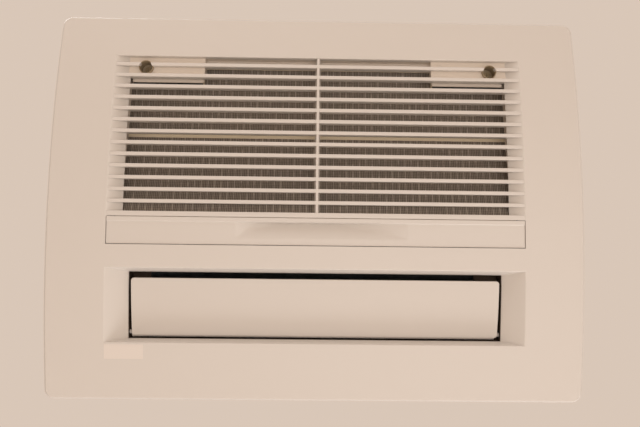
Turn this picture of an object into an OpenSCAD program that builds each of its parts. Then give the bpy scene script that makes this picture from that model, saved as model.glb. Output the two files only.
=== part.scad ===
// Ceiling heat recovery ventilator: a recessed casing with a diamond exchanger core, two fans,
// two duct spigots, and a domed room panel with an intake grille, a pull-out filter and an outlet flap.
// Frame: +Z up into the ceiling, z = 0 on the ceiling plane, origin at the panel's centre.
// The intake is on the -Y side, the outlet on the +Y side, and the ducts leave towards +X.

/* [Room panel] */
// Panel size along X
panel_w = 600; // [500:1:720]
// Panel size along Y
panel_l = 440; // [380:1:528]
// Corner radius of the panel in plan
panel_corner = 10.5; // [8:0.5:20]
// Edge height of the panel at its -Y and +Y rims
panel_rim = 8; // [6:0.5:12]
// Height of the dome above the rims
panel_crown = 22; // [18:0.5:26]
// Wall thickness of the panel moulding
panel_wall = 3; // [2.5:0.1:3.5]

/* [Intake grille] */
// From the panel's side edge to the grille's outer edge
grille_side_margin = 66; // [56:1:80]
// From the panel's -Y edge to the grille opening
grille_top_margin = 49.5; // [44:0.5:56]
// Width of the sloping cheek at each end of the slats
cheek_w = 16; // [12:1:20]
// Depth of the sloping cheek
cheek_depth = 8; // [6:0.5:9]
// Thickness of the sloping cheek
cheek_t = 1.8; // [1.5:0.1:2.2]
// Gap before the first slat
first_gap = 8; // [6:0.5:10]
// Target pitch of the slats
slat_pitch = 13.3; // [11:0.1:16]
// Front thickness of a slat
slat_t = 4; // [3:0.5:5]
// Depth of a slat
slat_depth = 11; // [8:0.5:11.5]
// Width of the closing bar below the last slat
bar_t = 5.9; // [5:0.1:8]
// Depth of the closing bar
bar_depth = 6; // [5:0.5:6.5]
// Width of the centre rib
rib_t = 4.6; // [3:0.1:6]
// Length of the corner plates from the cheek towards the middle
plate_len = 86; // [60:1:100]
// Diameter of the screwdriver holes
access_d = 15; // [12:0.5:16]
// From the inner end of the cheek to the screwdriver hole's axis
access_inset = 18.5; // [16:0.5:24]
// From the grille opening's edge to the screwdriver hole's axis
access_drop = 13; // [12:0.5:14]

/* [Filter] */
// Size of the pull strip along Y
strip_l = 31.3; // [28:0.1:36]
// Thickness of the pull strip's skin
strip_t = 3; // [2.5:0.1:3.5]
// Depth of the finger scoop
scoop_depth = 4.6; // [3:0.1:5]
// Half length of the finger scoop
scoop_half = 95; // [70:1:110]
// Radius that the filter slides round
filter_r = 600; // [560:1:700]
// Thickness of the filter frame
frame_t = 2.5; // [2:0.1:3]
// Border width of the filter frame
frame_border = 8; // [6:0.5:10]
// Thickness of the filter mesh
mesh_t = 0.7; // [0.5:0.1:1]
// Depth from the panel's face to the filter above the closing bar
filter_depth = 10.2; // [10:0.1:11]
// Gap between moving and fixed plastic pieces
slide_gap = 0.3; // [0.3:0.05:0.5]

/* [Outlet] */
// From the panel's +Y edge to the outlet recess
outlet_margin = 63.7; // [58:0.1:70]
// Size of the outlet recess along Y at the face
outlet_l = 82.5; // [76:0.1:92]
// From the panel's side edge to the outlet recess
outlet_side_margin = 66.5; // [60:0.5:80]
// Width of the recess's sloping side walls
recess_side = 23; // [18:0.5:28]
// Depth of the recess
recess_depth = 14.5; // [12:0.5:16]
// Set-back of the recess's -Y wall over its depth
recess_back = 4.5; // [3:0.1:6]
// Set-back of the recess's +Y wall over its depth
recess_front = 3.3; // [2:0.1:5]
// Plain land between the pull strip and the outlet recess
land = 25.6; // [22:0.1:32]
// Gap between the flap's ends and the throat's side walls
flap_side_gap = 3.5; // [3:0.1:7]
// Gap in front of the flap on its -Y side, at rest
flap_slot = 6.9; // [5:0.1:9]
// Thickness of the flap
flap_t = 2.2; // [2:0.1:3]
// Radius of the flap's pivot pins
pivot_r = 2.5; // [2:0.1:3]

/* [Casing] */
// From the panel's side edge in to the casing
lap_x = 30; // [24:1:40]
// From the panel's -Y or +Y edge in to the casing
lap_y = 25; // [20:1:32]
// Height of the casing above the ceiling plane
casing_h = 230; // [220:1:276]
// Thickness of the casing's sheet
sheet = 1.2; // [1:0.1:1.6]
// Length of the electrical compartment along X
bay_w = 75; // [70:1:90]
// Height of the electrical compartment's floor
bay_floor = 19; // [18.5:0.5:20.5]
// Rod spacing along X
rod_x = 400; // [360:1:440]
// From the casing's side to the rod's axis
rod_out = 20; // [16:1:24]
// Radius of the rod slots
rod_r = 5.5; // [4.5:0.5:6.5]
// Length of the rod slots
rod_slot = 20; // [16:1:26]
// Height of the hanger brackets' seats
hanger_z = 150; // [120:1:170]

/* [Core and ducts] */
// Height of the core's bottom corner
core_floor = 18.5; // [18:0.5:24]
// Space above the core's top corner
core_roof = 6.5; // [6:0.5:10]
// Offset of the core's middle from the casing's middle along Y
core_shift = -10; // [-14:1:-6]
// Pitch of the core's channels
channel_pitch = 6; // [5:0.5:10]
// Thickness of the core's plates
core_plate = 1.6; // [1.2:0.1:2.4]
// Thickness of the foam seals
seal_t = 2; // [1.5:0.5:3]
// Outside diameter of the duct spigots
duct_d = 98; // [90:1:100]
// Length of the duct spigots outside the casing
duct_len = 56; // [54:1:62]
// From the casing's side wall to a spigot's axis
duct_inset = 60; // [58:1:70]
// Height of the spigots' axis below the casing's top
duct_drop = 58; // [56:1:62]

/* [Fans] */
// Diameter of the supply impeller
supply_d = 70; // [60:1:76]
// Height of the supply impeller's axis
supply_z = 62; // [60:1:66]
// Diameter of the exhaust impeller
exhaust_d = 84; // [70:1:90]
// Height of the exhaust impeller
exhaust_h = 28; // [24:1:30]
// Number of blades on each impeller
blades = 26; // [20:1:32]
// Diameter of the fan shafts
shaft_d = 6; // [5:0.5:8]
// Radial clearance of a running fit
run_fit = 0.05; // [0.02:0.01:0.1]

/* [Hidden] */
$fn = 64;
fine = 256;
tiny = 0.01;

// Panel stations along Y
y_open = -panel_l / 2 + grille_top_margin;
y_out1 = panel_l / 2 - outlet_margin;
y_out0 = y_out1 - outlet_l;
y_strip1 = y_out0 - land;
y_strip0 = y_strip1 - strip_l;
y_bar = y_strip0 - bar_t;
y_slat = y_open + first_gap;
slat_count = round((y_bar - y_slat) / slat_pitch);
slat_step = (y_bar - y_slat) / slat_count;

// Dome: an arc round an axis parallel to X
arc_r = (pow(panel_l / 2, 2) + pow(panel_crown, 2)) / (2 * panel_crown);
arc_z = arc_r - panel_rim - panel_crown;
function face_z(y) = arc_z - sqrt(arc_r * arc_r - y * y);

// Half widths of the panel's openings
grille_half = panel_w / 2 - grille_side_margin;
slat_half = grille_half - cheek_w;
recess_half = panel_w / 2 - outlet_side_margin;
throat_half = recess_half - recess_side;
strip_half = recess_half - 0.4;
throat_y0 = y_out0 + recess_back;
throat_y1 = y_out1 - recess_front;
plate_depth = 7;
plate_t = 2.5;
rib_depth = slat_depth - 1.5;
back_wall_t = 2.5;
plate_y1 = y_slat + slat_step;
access_x = slat_half - access_inset;
access_y = y_open + access_drop;
boss_wall = 2;
lip_flank = 1;
recess_t = 3;
seat_gap = 0.1;

// Filter arc through a point over the closing bar and a point under the slot's far edge
bend_in = [y_bar, face_z(y_bar) + filter_depth];
bend_out = [y_strip1, face_z(y_strip1) - frame_t - 2.3];
bend_mid = (bend_in + bend_out) / 2;
bend_dir = (bend_out - bend_in) / norm(bend_out - bend_in);
bend_axis = bend_mid + sqrt(pow(filter_r, 2) - pow(norm(bend_out - bend_in) / 2, 2))
    * [bend_dir[1], -bend_dir[0]];
function bend_z(y, r) = bend_axis[1] + sqrt(r * r - pow(y - bend_axis[0], 2));
pull_angle = asin((y_strip1 - bend_axis[0]) / filter_r);
cheek_slope = atan(cheek_depth / cheek_w);
rail_web_x = slat_half + 8.3;
frame_half = rail_web_x - slide_gap;
frame_y0 = y_open + 4;
frame_y1 = y_strip0 + 2;
notch_x = slat_half - plate_len + 6;
notch_y = plate_y1 + 3.2;
cross_rib_y = y_slat + 6 * slat_step + 1.8;

// Casing and compartment
casing_w = panel_w - 2 * lap_x;
casing_l = panel_l - 2 * lap_y;
in_x = casing_w / 2 - sheet;
in_y = casing_l / 2 - sheet;
in_z = casing_h - sheet;
bay_x = -in_x + bay_w;
bay_in = bay_x + sheet;

// Core: a square prism standing on a corner, along X
core_half = (casing_h - core_floor - core_roof) / 2;
core_side = core_half * sqrt(2);
core_y = core_shift;
core_z = core_floor + core_half;
core_x0 = bay_in + seal_t;
core_x1 = in_x - seal_t;
core_joint = 0.5;
core_len = (core_x1 - core_x0 - core_joint) / 2;
vee_leg = 14;
vee_t = 1.5;
vee_tip = (seal_t + vee_t) * sqrt(2);

// Divider from the core's bottom corner down to the panel's land
divider_y = y_strip1 + 4.8;
divider_z = face_z(divider_y) + 12.6;
land_rib_t = 2;

// Supply fan and its guides, in Y and Z
supply_r = supply_d / 2;
supply_y = (throat_y0 + throat_y1) / 2 + 14.3;
guide_c = [supply_y + 4, supply_z - 6];
guide_r = supply_r + 12;
guide_t = 1.5;
guide_end = -42;
deck_z = 7.5;
deck_t = 1.5;
deck_top = deck_z + deck_t;
impeller_x0 = bay_in + 10;
impeller_x1 = in_x - 88.8;
end_plate_x = impeller_x1 + 6;
end_plate_t = 1.5;
bearing_r = 11;
shaft_r = shaft_d / 2;
supply_motor_r = 30;
supply_motor_len = 42;

// Flap: an arc between its two edges, with pins near its +Y edge
flap_y0 = throat_y0 + flap_slot;
flap_y1 = throat_y1 - 3.5;
flap_z0 = face_z(flap_y0) + recess_depth - 4.4;
flap_z1 = face_z(flap_y1) + recess_depth + 2.2;
flap_half = throat_half - flap_side_gap;
flap_arc = 260;
flap_mid = [(flap_y0 + flap_y1) / 2, (flap_z0 + flap_z1) / 2];
flap_chord = norm([flap_y1 - flap_y0, flap_z1 - flap_z0]);
flap_tilt = atan2(flap_z1 - flap_z0, flap_y1 - flap_y0);
flap_rise = sqrt(flap_arc * flap_arc - flap_chord * flap_chord / 4);
pivot = [flap_y1 - 3.5, flap_z1 + 5];
chute_wall = 2;
bush_r = 4.5;
flap_motor_r = 10;
flap_motor_len = 16;

// Exhaust fan: a vertical shaft in a scroll over the core's +Y face
exhaust_r = exhaust_d / 2;
duct_r = duct_d / 2;
duct_y = casing_l / 2 - duct_inset;
duct_z = casing_h - duct_drop;
duct_wall = 1.2;
scroll_r = exhaust_r + 16;
scroll_wall = 1.5;
scroll_x = in_x - 78;
scroll_y = duct_y + 28 - scroll_r;
scroll_z0 = duct_z + 5;
scroll_h = exhaust_h + 8;
scroll_duct = 50;
exhaust_z0 = scroll_z0 + scroll_wall + 2.5;
exhaust_motor_r = 27;
flange_w = duct_d + 18;
flange_t = 1.5;
duct_x0 = in_x;
duct_x1 = casing_w / 2 + duct_len;
leaf_r = duct_r - duct_wall - 1.2;
leaf_t = 0.8;
leaf_pin_r = 1.5;
exhaust_pin_x = casing_w / 2 + 4;
outdoor_pin_x = duct_x1 - 4;

// Control box in the compartment, open downwards
box_x0 = -in_x + 2.5;
box_x1 = bay_x - 3;
box_y0 = -in_y + 8;
box_y1 = box_y0 + 145;
box_z0 = bay_floor + sheet;
box_h = 72;
gland_y = box_y0 + 30;
gland_z = box_z0 + 38;
gland_r = 8;
gland_bore = 5.5;
screw_r = 1.9;
screw_gap = 0.1;

// ---------- shared shapes ----------

// A Y-Z outline pushed along X
module along_x(x0, x1) {
    translate([x0, 0, 0]) rotate([90, 0, 90]) linear_extrude(x1 - x0) children();
}

// A box between two corners
module block(a, b) {
    translate(a) cube(b - a);
}

// A cylinder along X between two stations
module rod_x_axis(x0, x1, y, z, r) {
    translate([x0, y, z]) rotate([0, 90, 0]) cylinder(r = r, h = x1 - x0);
}

// The same on both sides of the YZ plane
module both_sides() {
    children();
    mirror([1, 0, 0]) children();
}

// Part of a ring in 2D, less than half a turn at a time
module ring_part(r0, r1, a0, a1) {
    reach = r1 * 3;
    mid = (a0 + a1) / 2;
    intersection() {
        difference() {
            circle(r1, $fn = fine);
            circle(r0, $fn = fine);
        }
        polygon([[0, 0], reach * [cos(a0), sin(a0)], reach * [cos(mid), sin(mid)],
            reach * [cos(a1), sin(a1)]]);
    }
}

// Space above the dome's face, moved inwards by off
module above_face(off = 0) {
    translate([0, 0, arc_z]) rotate([0, 90, 0])
        cylinder(r = arc_r - off, h = panel_w + 40, center = true, $fn = fine);
}

// Layer of the dome between two depths
module face_layer(d0, d1) {
    difference() {
        above_face(d0);
        above_face(d1);
    }
}

// Space above a cheek that starts at x_out on the face and rises inwards by the angle tilt
module above_cheek(x_out, tilt, off = 0) {
    r = arc_r / cos(tilt);
    translate([x_out, 0, face_z(0)]) rotate([0, tilt, 0]) translate([0, 0, r])
        rotate([0, 90, 0]) cylinder(r = r - off, h = 260, center = true, $fn = fine);
}

// Rounded panel outline, inset from the edge
module panel_outline(inset) {
    w = panel_w - 2 * inset;
    l = panel_l - 2 * inset;
    r = panel_corner - inset;
    square([w, l - 2 * r], center = true);
    square([w - 2 * r, l], center = true);
    for (x = [-1, 1], y = [-1, 1]) translate([x * (w / 2 - r), y * (l / 2 - r)]) circle(r);
}

// V that holds a corner of the core; the corner points along +X of the outline
module vee(gap, t, leg) {
    a = gap * sqrt(2);
    b = (gap + t) * sqrt(2);
    polygon([[b, 0], [-leg, leg + b], [-leg, leg + a], [a, 0], [-leg, -leg - a],
        [-leg, -leg - b]]);
}

// Puts a V on one of the core's corners: 0 is +Y, 90 is up, 180 is -Y, 270 is down
module at_corner(turn) {
    translate([core_y, core_z]) rotate(turn) translate([core_half, 0]) children();
}

// Pan-head screw pointing along +Z, its head below z = 0
module screw(length, r = screw_r) {
    head_r = 1.9 * r;
    translate([0, 0, -1.2 * r]) difference() {
        cylinder(r = head_r, h = 1.2 * r);
        for (turn = [0, 90]) rotate(turn)
            translate([-head_r * 0.6, -0.2 * r, -tiny]) cube([head_r * 1.2, 0.4 * r, 0.6 * r]);
    }
    cylinder(r = r, h = length);
}

// ---------- casing ----------

module hanger_places() {
    for (x = [-1, 1], y = [-1, 1])
        translate([x * rod_x / 2, y * casing_l / 2, hanger_z]) scale([1, y, 1]) children();
}

module hanger_screw_places() {
    for (x = [-12, 12]) translate([x, 0, 22]) children();
}

module spigot_places() {
    for (y = [-1, 1]) translate([casing_w / 2, y * duct_y, duct_z]) children();
}

module spigot_screw_places() {
    reach = flange_w / 2 - 7;
    for (y = [-1, 1], z = [-1, 1]) translate([0, y * reach, z * reach])
        rotate([0, -90, 0]) children();
}

module casing_sheet(low, high) {
    hole = 3 * sheet;
    color("lightsteelblue") difference() {
        block(low, high);
        spigot_places() rotate([0, 90, 0])
            cylinder(r = duct_r + slide_gap, h = hole, center = true);
        spigot_places() spigot_screw_places()
            cylinder(r = screw_r + screw_gap, h = hole, center = true);
        hanger_places() hanger_screw_places() rotate([90, 0, 0])
            cylinder(r = screw_r + screw_gap, h = hole, center = true);
        rod_x_axis(-casing_w / 2 - 1, -in_x + 1, gland_y, gland_z, gland_r + 0.2);
    }
}

module casing_top() {
    casing_sheet([-casing_w / 2, -casing_l / 2, in_z], [casing_w / 2, casing_l / 2, casing_h]);
}

module casing_side_walls() {
    casing_sheet([-casing_w / 2, -casing_l / 2, 0], [casing_w / 2, -in_y, in_z]);
    casing_sheet([-casing_w / 2, in_y, 0], [casing_w / 2, casing_l / 2, in_z]);
}

module casing_end_ducts() {
    casing_sheet([in_x, -in_y, 0], [casing_w / 2, in_y, in_z]);
}

module casing_end_wiring() {
    casing_sheet([-casing_w / 2, -in_y, 0], [-in_x, in_y, in_z]);
}

module hanger_brackets() {
    t = 2;
    leg = rod_out + 12;
    color("silver") hanger_places() difference() {
        union() {
            block([-20, 0, 0], [20, leg, t]);
            block([-20, 0, t], [20, t, 36]);
            for (x = [-20, 18]) translate([x, 0, 0]) rotate([90, 0, 90])
                linear_extrude(t) polygon([[t, t], [leg - 6, t], [t, 22]]);
        }
        translate([0, rod_out, -1]) linear_extrude(t + 2) {
            square([rod_slot - 2 * rod_r, 2 * rod_r], center = true);
            for (x = [-1, 1]) translate([x * (rod_slot / 2 - rod_r), 0]) circle(rod_r);
        }
        hanger_screw_places() rotate([90, 0, 0])
            cylinder(r = screw_r + screw_gap, h = 4 * t, center = true);
    }
}

module hanger_screws() {
    color("dimgray") hanger_places() translate([0, 2, 0])
        hanger_screw_places() rotate([90, 0, 0]) screw(3.1);
}

module end_bulkhead() {
    color("lightsteelblue") difference() {
        block([bay_x, -in_y, bay_floor + sheet], [bay_in, in_y, in_z]);
        rod_x_axis(bay_x - 1, bay_in + 1, supply_y, supply_z, shaft_r + 4);
        supply_screw_places() rod_x_axis(-5, 5, 0, 0, screw_r + screw_gap);
    }
}

module compartment_floor() {
    color("lightsteelblue")
        block([-in_x, box_y1 + 1, bay_floor], [bay_in, in_y, bay_floor + sheet]);
}

module return_partition() {
    color("lightsteelblue") along_x(bay_in, in_x) {
        at_corner(180) vee(seal_t, vee_t, vee_leg);
        translate([-in_y, core_z - sheet / 2])
            square([core_y - core_half - vee_tip + 1 + in_y, sheet]);
    }
}

module exhaust_partition() {
    color("lightsteelblue") along_x(bay_in, in_x) {
        at_corner(0) vee(seal_t, vee_t, vee_leg);
        translate([core_y + core_half + vee_tip - 1, core_z - sheet / 2])
            square([in_y - core_y - core_half - vee_tip + 1, sheet]);
    }
}

module bottom_divider() {
    low = core_floor - vee_tip;
    color("lightsteelblue") {
        along_x(bay_in, in_x) at_corner(270) vee(seal_t, vee_t, vee_leg);
        along_x(-in_x, in_x) polygon([[core_y - 1, low + 1], [core_y + 1, low + 1],
            [divider_y + 0.6, divider_z], [divider_y - 1, divider_z]]);
        block([-in_x, core_y - 0.6, low], [bay_x, core_y + 0.6, bay_floor]);
    }
}

module top_core_rail() {
    color("lightsteelblue") along_x(bay_in, in_x) {
        at_corner(90) vee(seal_t, vee_t, vee_leg);
        translate([core_y - 4, in_z - (core_roof - sheet - vee_tip) - 1])
            square([8, core_roof - sheet - vee_tip + 1]);
    }
}

module core_seals() {
    color("dimgray") along_x(bay_in, in_x)
        for (turn = [0, 90, 180, 270]) at_corner(turn) vee(0, seal_t, vee_leg - 2);
}

module core_section() {
    translate([core_y, core_z]) rotate(45) square(core_side, center = true);
}

module core_end_pads() {
    color("dimgray") {
        along_x(bay_in, core_x0) core_section();
        along_x(core_x1, in_x) core_section();
    }
}

// One block: plates across X, each gap open towards one pair of faces, turn about
module core_block(x0) {
    edge = 4;
    count = floor((core_len - core_plate) / channel_pitch);
    start = (core_len - count * channel_pitch + core_plate) / 2;
    color("linen") translate([x0, core_y, core_z]) rotate([45, 0, 0]) difference() {
        translate([0, -core_side / 2, -core_side / 2]) cube([core_len, core_side, core_side]);
        for (i = [0:count - 1]) {
            wide = core_side - 2 * edge;
            deep = core_side + 2;
            size = i % 2 == 0 ? [wide, deep] : [deep, wide];
            translate([start + i * channel_pitch, -size[0] / 2, -size[1] / 2])
                cube([channel_pitch - core_plate, size[0], size[1]]);
        }
    }
}

module core_blocks() {
    core_block(core_x0);
    core_block(core_x0 + core_len + core_joint);
}

// Pleated filter on the core's outdoor air face
module outdoor_filter() {
    wide = core_side - 56;
    deep = 10;
    wall = 2;
    pleats = 9;
    step = (wide - 2 * wall) / pleats;
    color("whitesmoke") translate([0, core_y, core_z]) rotate([45, 0, 0])
        translate([0, 0, core_side / 2 + slide_gap]) {
            difference() {
                block([core_x0 + 2, -wide / 2, 0], [core_x1 - 2, wide / 2, deep]);
                block([core_x0 + 2 + wall, -wide / 2 + wall, -1],
                    [core_x1 - 2 - wall, wide / 2 - wall, deep + 1]);
            }
            along_x(core_x0 + 2, core_x1 - 2) for (i = [0:pleats - 1])
                translate([-wide / 2 + wall + i * step, 1])
                    polygon([[-0.1, 0], [0.7, 0], [step / 2, 7.2], [step - 0.7, 0],
                        [step + 0.1, 0], [step / 2 + 0.4, 8], [step / 2 - 0.4, 8]]);
        }
}

module outdoor_plenum_liner() {
    color("gainsboro") block([bay_in, -in_y, core_z + 2], [in_x, -in_y + 5, in_z]);
}

// ---------- supply fan ----------

module supply_screw_places() {
    for (turn = [30, 150, 270])
        translate([bay_x, supply_y + 36 * cos(turn), supply_z + 36 * sin(turn)]) children();
}

module scroll_guide() {
    last = guide_c + guide_r * [cos(guide_end), sin(guide_end)];
    drop = (last[1] - deck_top) / cos(guide_end);
    color("lightgray") along_x(bay_in, end_plate_x) {
        translate(guide_c) ring_part(guide_r, guide_r + guide_t, guide_end, 100);
        difference() {
            translate(last) rotate(guide_end) translate([0, -drop - 5])
                square([guide_t, drop + 5.5]);
            translate([0, deck_top - 20]) square([400, 20]);
        }
    }
}

module scroll_tongue() {
    tip = [supply_y - supply_r * 0.86 - 3, supply_z - supply_r * 0.6 - 2];
    foot = [throat_y0 - 0.5, deck_top];
    heel = [throat_y0 - chute_wall, deck_top];
    t = 1.5;
    color("lightgray") along_x(bay_in, end_plate_x) {
        polygon([foot, tip, tip - [t, 0], heel + [1.6, 2.4],
            [divider_y + 1.8, divider_z + 1.6], [divider_y + 0.7, divider_z], heel]);
        translate(tip - [1.4, 0.8]) circle(2.2);
    }
}

module scroll_end_plate() {
    color("lightgray") difference() {
        along_x(end_plate_x, end_plate_x + end_plate_t) difference() {
            union() {
                translate(guide_c) circle(guide_r + guide_t + 2);
                polygon([[throat_y0 - 4, deck_top], [throat_y1 + 6, deck_top],
                    guide_c + [guide_r - 4, -18], guide_c, [supply_y - 40, supply_z - 10]]);
            }
            translate([0, deck_top - 30]) square([400, 30]);
        }
        rod_x_axis(end_plate_x - 1, end_plate_x + end_plate_t + 1, supply_y, supply_z,
            bearing_r + run_fit);
    }
}

module fan_bearing() {
    x = end_plate_x;
    color("dimgray") difference() {
        union() {
            rod_x_axis(x - 3, x + 8, supply_y, supply_z, bearing_r);
            rod_x_axis(x + end_plate_t, x + end_plate_t + 2, supply_y, supply_z, bearing_r + 3);
        }
        rod_x_axis(x - 4, x + 9, supply_y, supply_z, shaft_r + run_fit);
    }
}

module supply_fan_motor() {
    x = bay_x;
    color("gray") difference() {
        union() {
            rod_x_axis(x - 3, x, supply_y, supply_z, 40);
            rod_x_axis(x - supply_motor_len, x - 3, supply_y, supply_z, supply_motor_r);
            rod_x_axis(x - supply_motor_len - 5, x - supply_motor_len, supply_y, supply_z, 12);
        }
        rod_x_axis(x - supply_motor_len + 4, x + 1, supply_y, supply_z, shaft_r + run_fit);
        supply_screw_places() rod_x_axis(-6, 5, 0, 0, screw_r + screw_gap);
    }
}

module supply_motor_screws() {
    color("silver") supply_screw_places() translate([-3, 0, 0]) rotate([0, 90, 0]) screw(9);
}

// Forward-curved blades in 2D round the outline's origin
module blade_ring(r_out, curve) {
    for (i = [0:blades - 1]) rotate(i * 360 / blades) translate([r_out - curve, 0])
        ring_part(curve - 0.5, curve + 0.4, 25, 155);
}

module supply_impeller() {
    curve = 4.2;
    rings = 4;
    disc = 2;
    color("slategray") translate([0, supply_y, supply_z]) {
        along_x(impeller_x0, impeller_x1) blade_ring(supply_r, curve);
        for (i = [0:rings]) {
            x = impeller_x0 + i * (impeller_x1 - impeller_x0 - disc) / rings;
            along_x(x, x + disc) difference() {
                circle(supply_r);
                circle(i == 0 || i == rings ? shaft_r : supply_r - 2 * curve);
            }
        }
    }
}

module supply_shaft() {
    color("silver") rod_x_axis(bay_x - supply_motor_len + 6, end_plate_x + 7, supply_y,
        supply_z, shaft_r);
}

// ---------- exhaust fan ----------

module exhaust_scroll_outline(inset) {
    translate([scroll_x, scroll_y]) circle(scroll_r - inset, $fn = fine);
    translate([scroll_x, scroll_y + scroll_r - scroll_duct + inset])
        square([in_x - scroll_x, scroll_duct - 2 * inset]);
}

module exhaust_scroll() {
    color("lightgray") difference() {
        translate([0, 0, scroll_z0]) linear_extrude(scroll_h) exhaust_scroll_outline(0);
        translate([0, 0, scroll_z0 + scroll_wall]) linear_extrude(scroll_h - 2 * scroll_wall)
            union() {
                exhaust_scroll_outline(scroll_wall);
                translate([in_x - 5, scroll_y + scroll_r - scroll_duct + scroll_wall])
                    square([10, scroll_duct - 2 * scroll_wall]);
            }
        translate([scroll_x, scroll_y, scroll_z0 - 1])
            cylinder(r = exhaust_r - 9, h = scroll_wall + 2);
        translate([scroll_x, scroll_y, scroll_z0]) cylinder(r = 8, h = scroll_h + 1);
    }
}

module exhaust_fan_motor() {
    z = scroll_z0 + scroll_h;
    color("gray") translate([scroll_x, scroll_y, z]) difference() {
        union() {
            cylinder(r = exhaust_motor_r, h = 9);
            cylinder(r = exhaust_motor_r + 6, h = 1.5);
            cylinder(r = 16, h = in_z - z);
        }
        translate([0, 0, -1]) cylinder(r = shaft_r + run_fit, h = 10);
    }
}

module exhaust_impeller() {
    curve = 4.6;
    disc = 1.5;
    color("slategray") translate([scroll_x, scroll_y, exhaust_z0]) {
        linear_extrude(exhaust_h) blade_ring(exhaust_r, curve);
        linear_extrude(disc) difference() {
            circle(exhaust_r);
            circle(exhaust_r - 2 * curve);
        }
        translate([0, 0, exhaust_h - disc]) linear_extrude(disc) difference() {
            circle(exhaust_r);
            circle(shaft_r);
        }
        translate([0, 0, exhaust_h - 14]) linear_extrude(13) difference() {
            circle(9);
            circle(shaft_r);
        }
    }
}

module exhaust_shaft() {
    z = exhaust_z0 + exhaust_h - 14;
    color("silver") translate([scroll_x, scroll_y, z])
        cylinder(r = shaft_r, h = scroll_z0 + scroll_h + 8 - z);
}

// ---------- duct spigots ----------

module spigot(y, pin_x) {
    color("whitesmoke") difference() {
        union() {
            rod_x_axis(duct_x0, duct_x1, y, duct_z, duct_r);
            block([casing_w / 2, y - flange_w / 2, duct_z - flange_w / 2],
                [casing_w / 2 + flange_t, y + flange_w / 2, duct_z + flange_w / 2]);
        }
        rod_x_axis(duct_x0 - 1, duct_x1 + 1, y, duct_z, duct_r - duct_wall);
        translate([casing_w / 2, y, duct_z]) spigot_screw_places()
            cylinder(r = screw_r + screw_gap, h = 8, center = true);
        translate([pin_x, y, duct_z - duct_r - 1])
            cylinder(r = leaf_pin_r + run_fit, h = duct_d + 2);
    }
}

module outdoor_spigot() {
    spigot(-duct_y, outdoor_pin_x);
}

module exhaust_spigot() {
    spigot(duct_y, exhaust_pin_x);
}

module spigot_screws() {
    color("silver") spigot_places() translate([flange_t, 0, 0])
        spigot_screw_places() screw(2.6);
}

module shutter_pin(x, y) {
    color("silver") translate([x, y, duct_z - duct_r]) cylinder(r = leaf_pin_r, h = duct_d);
}

// Half-round leaf on the pin; side is -1 or +1 along Y, and its sleeves leave the other leaf's place
module shutter_leaf(x, y, side) {
    sleeve_r = leaf_pin_r + 1;
    gap = sleeve_r + slide_gap;
    sleeves = side > 0 ? [[-38, -20], [2, 18]] : [[-18, -2], [20, 38]];
    color("silver") translate([x, y, duct_z]) difference() {
        union() {
            intersection() {
                rod_x_axis(-leaf_t / 2, leaf_t / 2, 0, 0, leaf_r);
                translate([-5, side > 0 ? gap : -gap - 60, -60]) cube([10, 60, 120]);
            }
            for (s = sleeves) {
                translate([0, 0, s[0]]) cylinder(r = sleeve_r, h = s[1] - s[0]);
                translate([-leaf_t / 2, side > 0 ? 0 : -gap - 1, s[0]])
                    cube([leaf_t, gap + 1, s[1] - s[0]]);
            }
        }
        translate([0, 0, -60]) cylinder(r = leaf_pin_r + run_fit, h = 120);
    }
}

module outdoor_shutter_pin() {
    shutter_pin(outdoor_pin_x, -duct_y);
}

module outdoor_shutter_left() {
    shutter_leaf(outdoor_pin_x, -duct_y, -1);
}

module outdoor_shutter_right() {
    shutter_leaf(outdoor_pin_x, -duct_y, 1);
}

module exhaust_shutter_pin() {
    shutter_pin(exhaust_pin_x, duct_y);
}

module exhaust_shutter_left() {
    shutter_leaf(exhaust_pin_x, duct_y, -1);
}

module exhaust_shutter_right() {
    shutter_leaf(exhaust_pin_x, duct_y, 1);
}

// ---------- control box ----------

module lid_screw_places() {
    for (y = [box_y0 + 12, box_y1 - 12])
        translate([(box_x0 + box_x1) / 2, y, box_z0 - sheet]) children();
}

module control_box() {
    color("lightsteelblue") difference() {
        union() {
            difference() {
                block([box_x0, box_y0, box_z0], [box_x1, box_y1, box_z0 + box_h]);
                block([box_x0 + sheet, box_y0 + sheet, box_z0 - 1],
                    [box_x1 - sheet, box_y1 - sheet, box_z0 + box_h - sheet]);
            }
            for (y = [box_y0, box_y1 - 18])
                block([box_x0, y, box_z0], [box_x1, y + 18, box_z0 + sheet]);
            block([box_x1 - tiny, box_y0 + 40, box_z0 + 20], [bay_x, box_y0 + 60, box_z0 + 50]);
        }
        rod_x_axis(box_x0 - 1, box_x0 + 3, gland_y, gland_z, gland_r + 0.2);
        lid_screw_places() translate([0, 0, -1]) cylinder(r = screw_r + screw_gap, h = 6);
    }
}

module control_box_lid() {
    color("lightsteelblue") difference() {
        block([box_x0, box_y0, box_z0 - sheet], [box_x1, box_y1, box_z0]);
        lid_screw_places() translate([0, 0, -1]) cylinder(r = screw_r + screw_gap, h = 6);
    }
}

module control_lid_screws() {
    color("silver") lid_screw_places() screw(7);
}

module control_board() {
    x0 = box_x0 + 5;
    x1 = box_x1 - 5;
    z = box_z0 + box_h - sheet - 8;
    y0 = box_y0 + 22;
    color("seagreen") {
        block([x0, y0, z], [x1, box_y1 - 6, z + 1.6]);
        for (x = [x0 + 4, x1 - 4], y = [y0 + 4, box_y1 - 10])
            translate([x, y, z + 1.6 - tiny]) cylinder(r = 2.5, h = 6.4 + tiny);
        for (i = [0:2]) block([x0 + 6, y0 + 14 + i * 22, z - 15], [x0 + 24, y0 + 30 + i * 22, z]);
        for (i = [0:1]) translate([x1 - 14, y0 + 24 + i * 26, z - 24])
            cylinder(r = 8, h = 24 + tiny);
        block([x0 + 20, box_y1 - 26, z - 10], [x1 - 6, box_y1 - 16, z]);
    }
}

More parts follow.
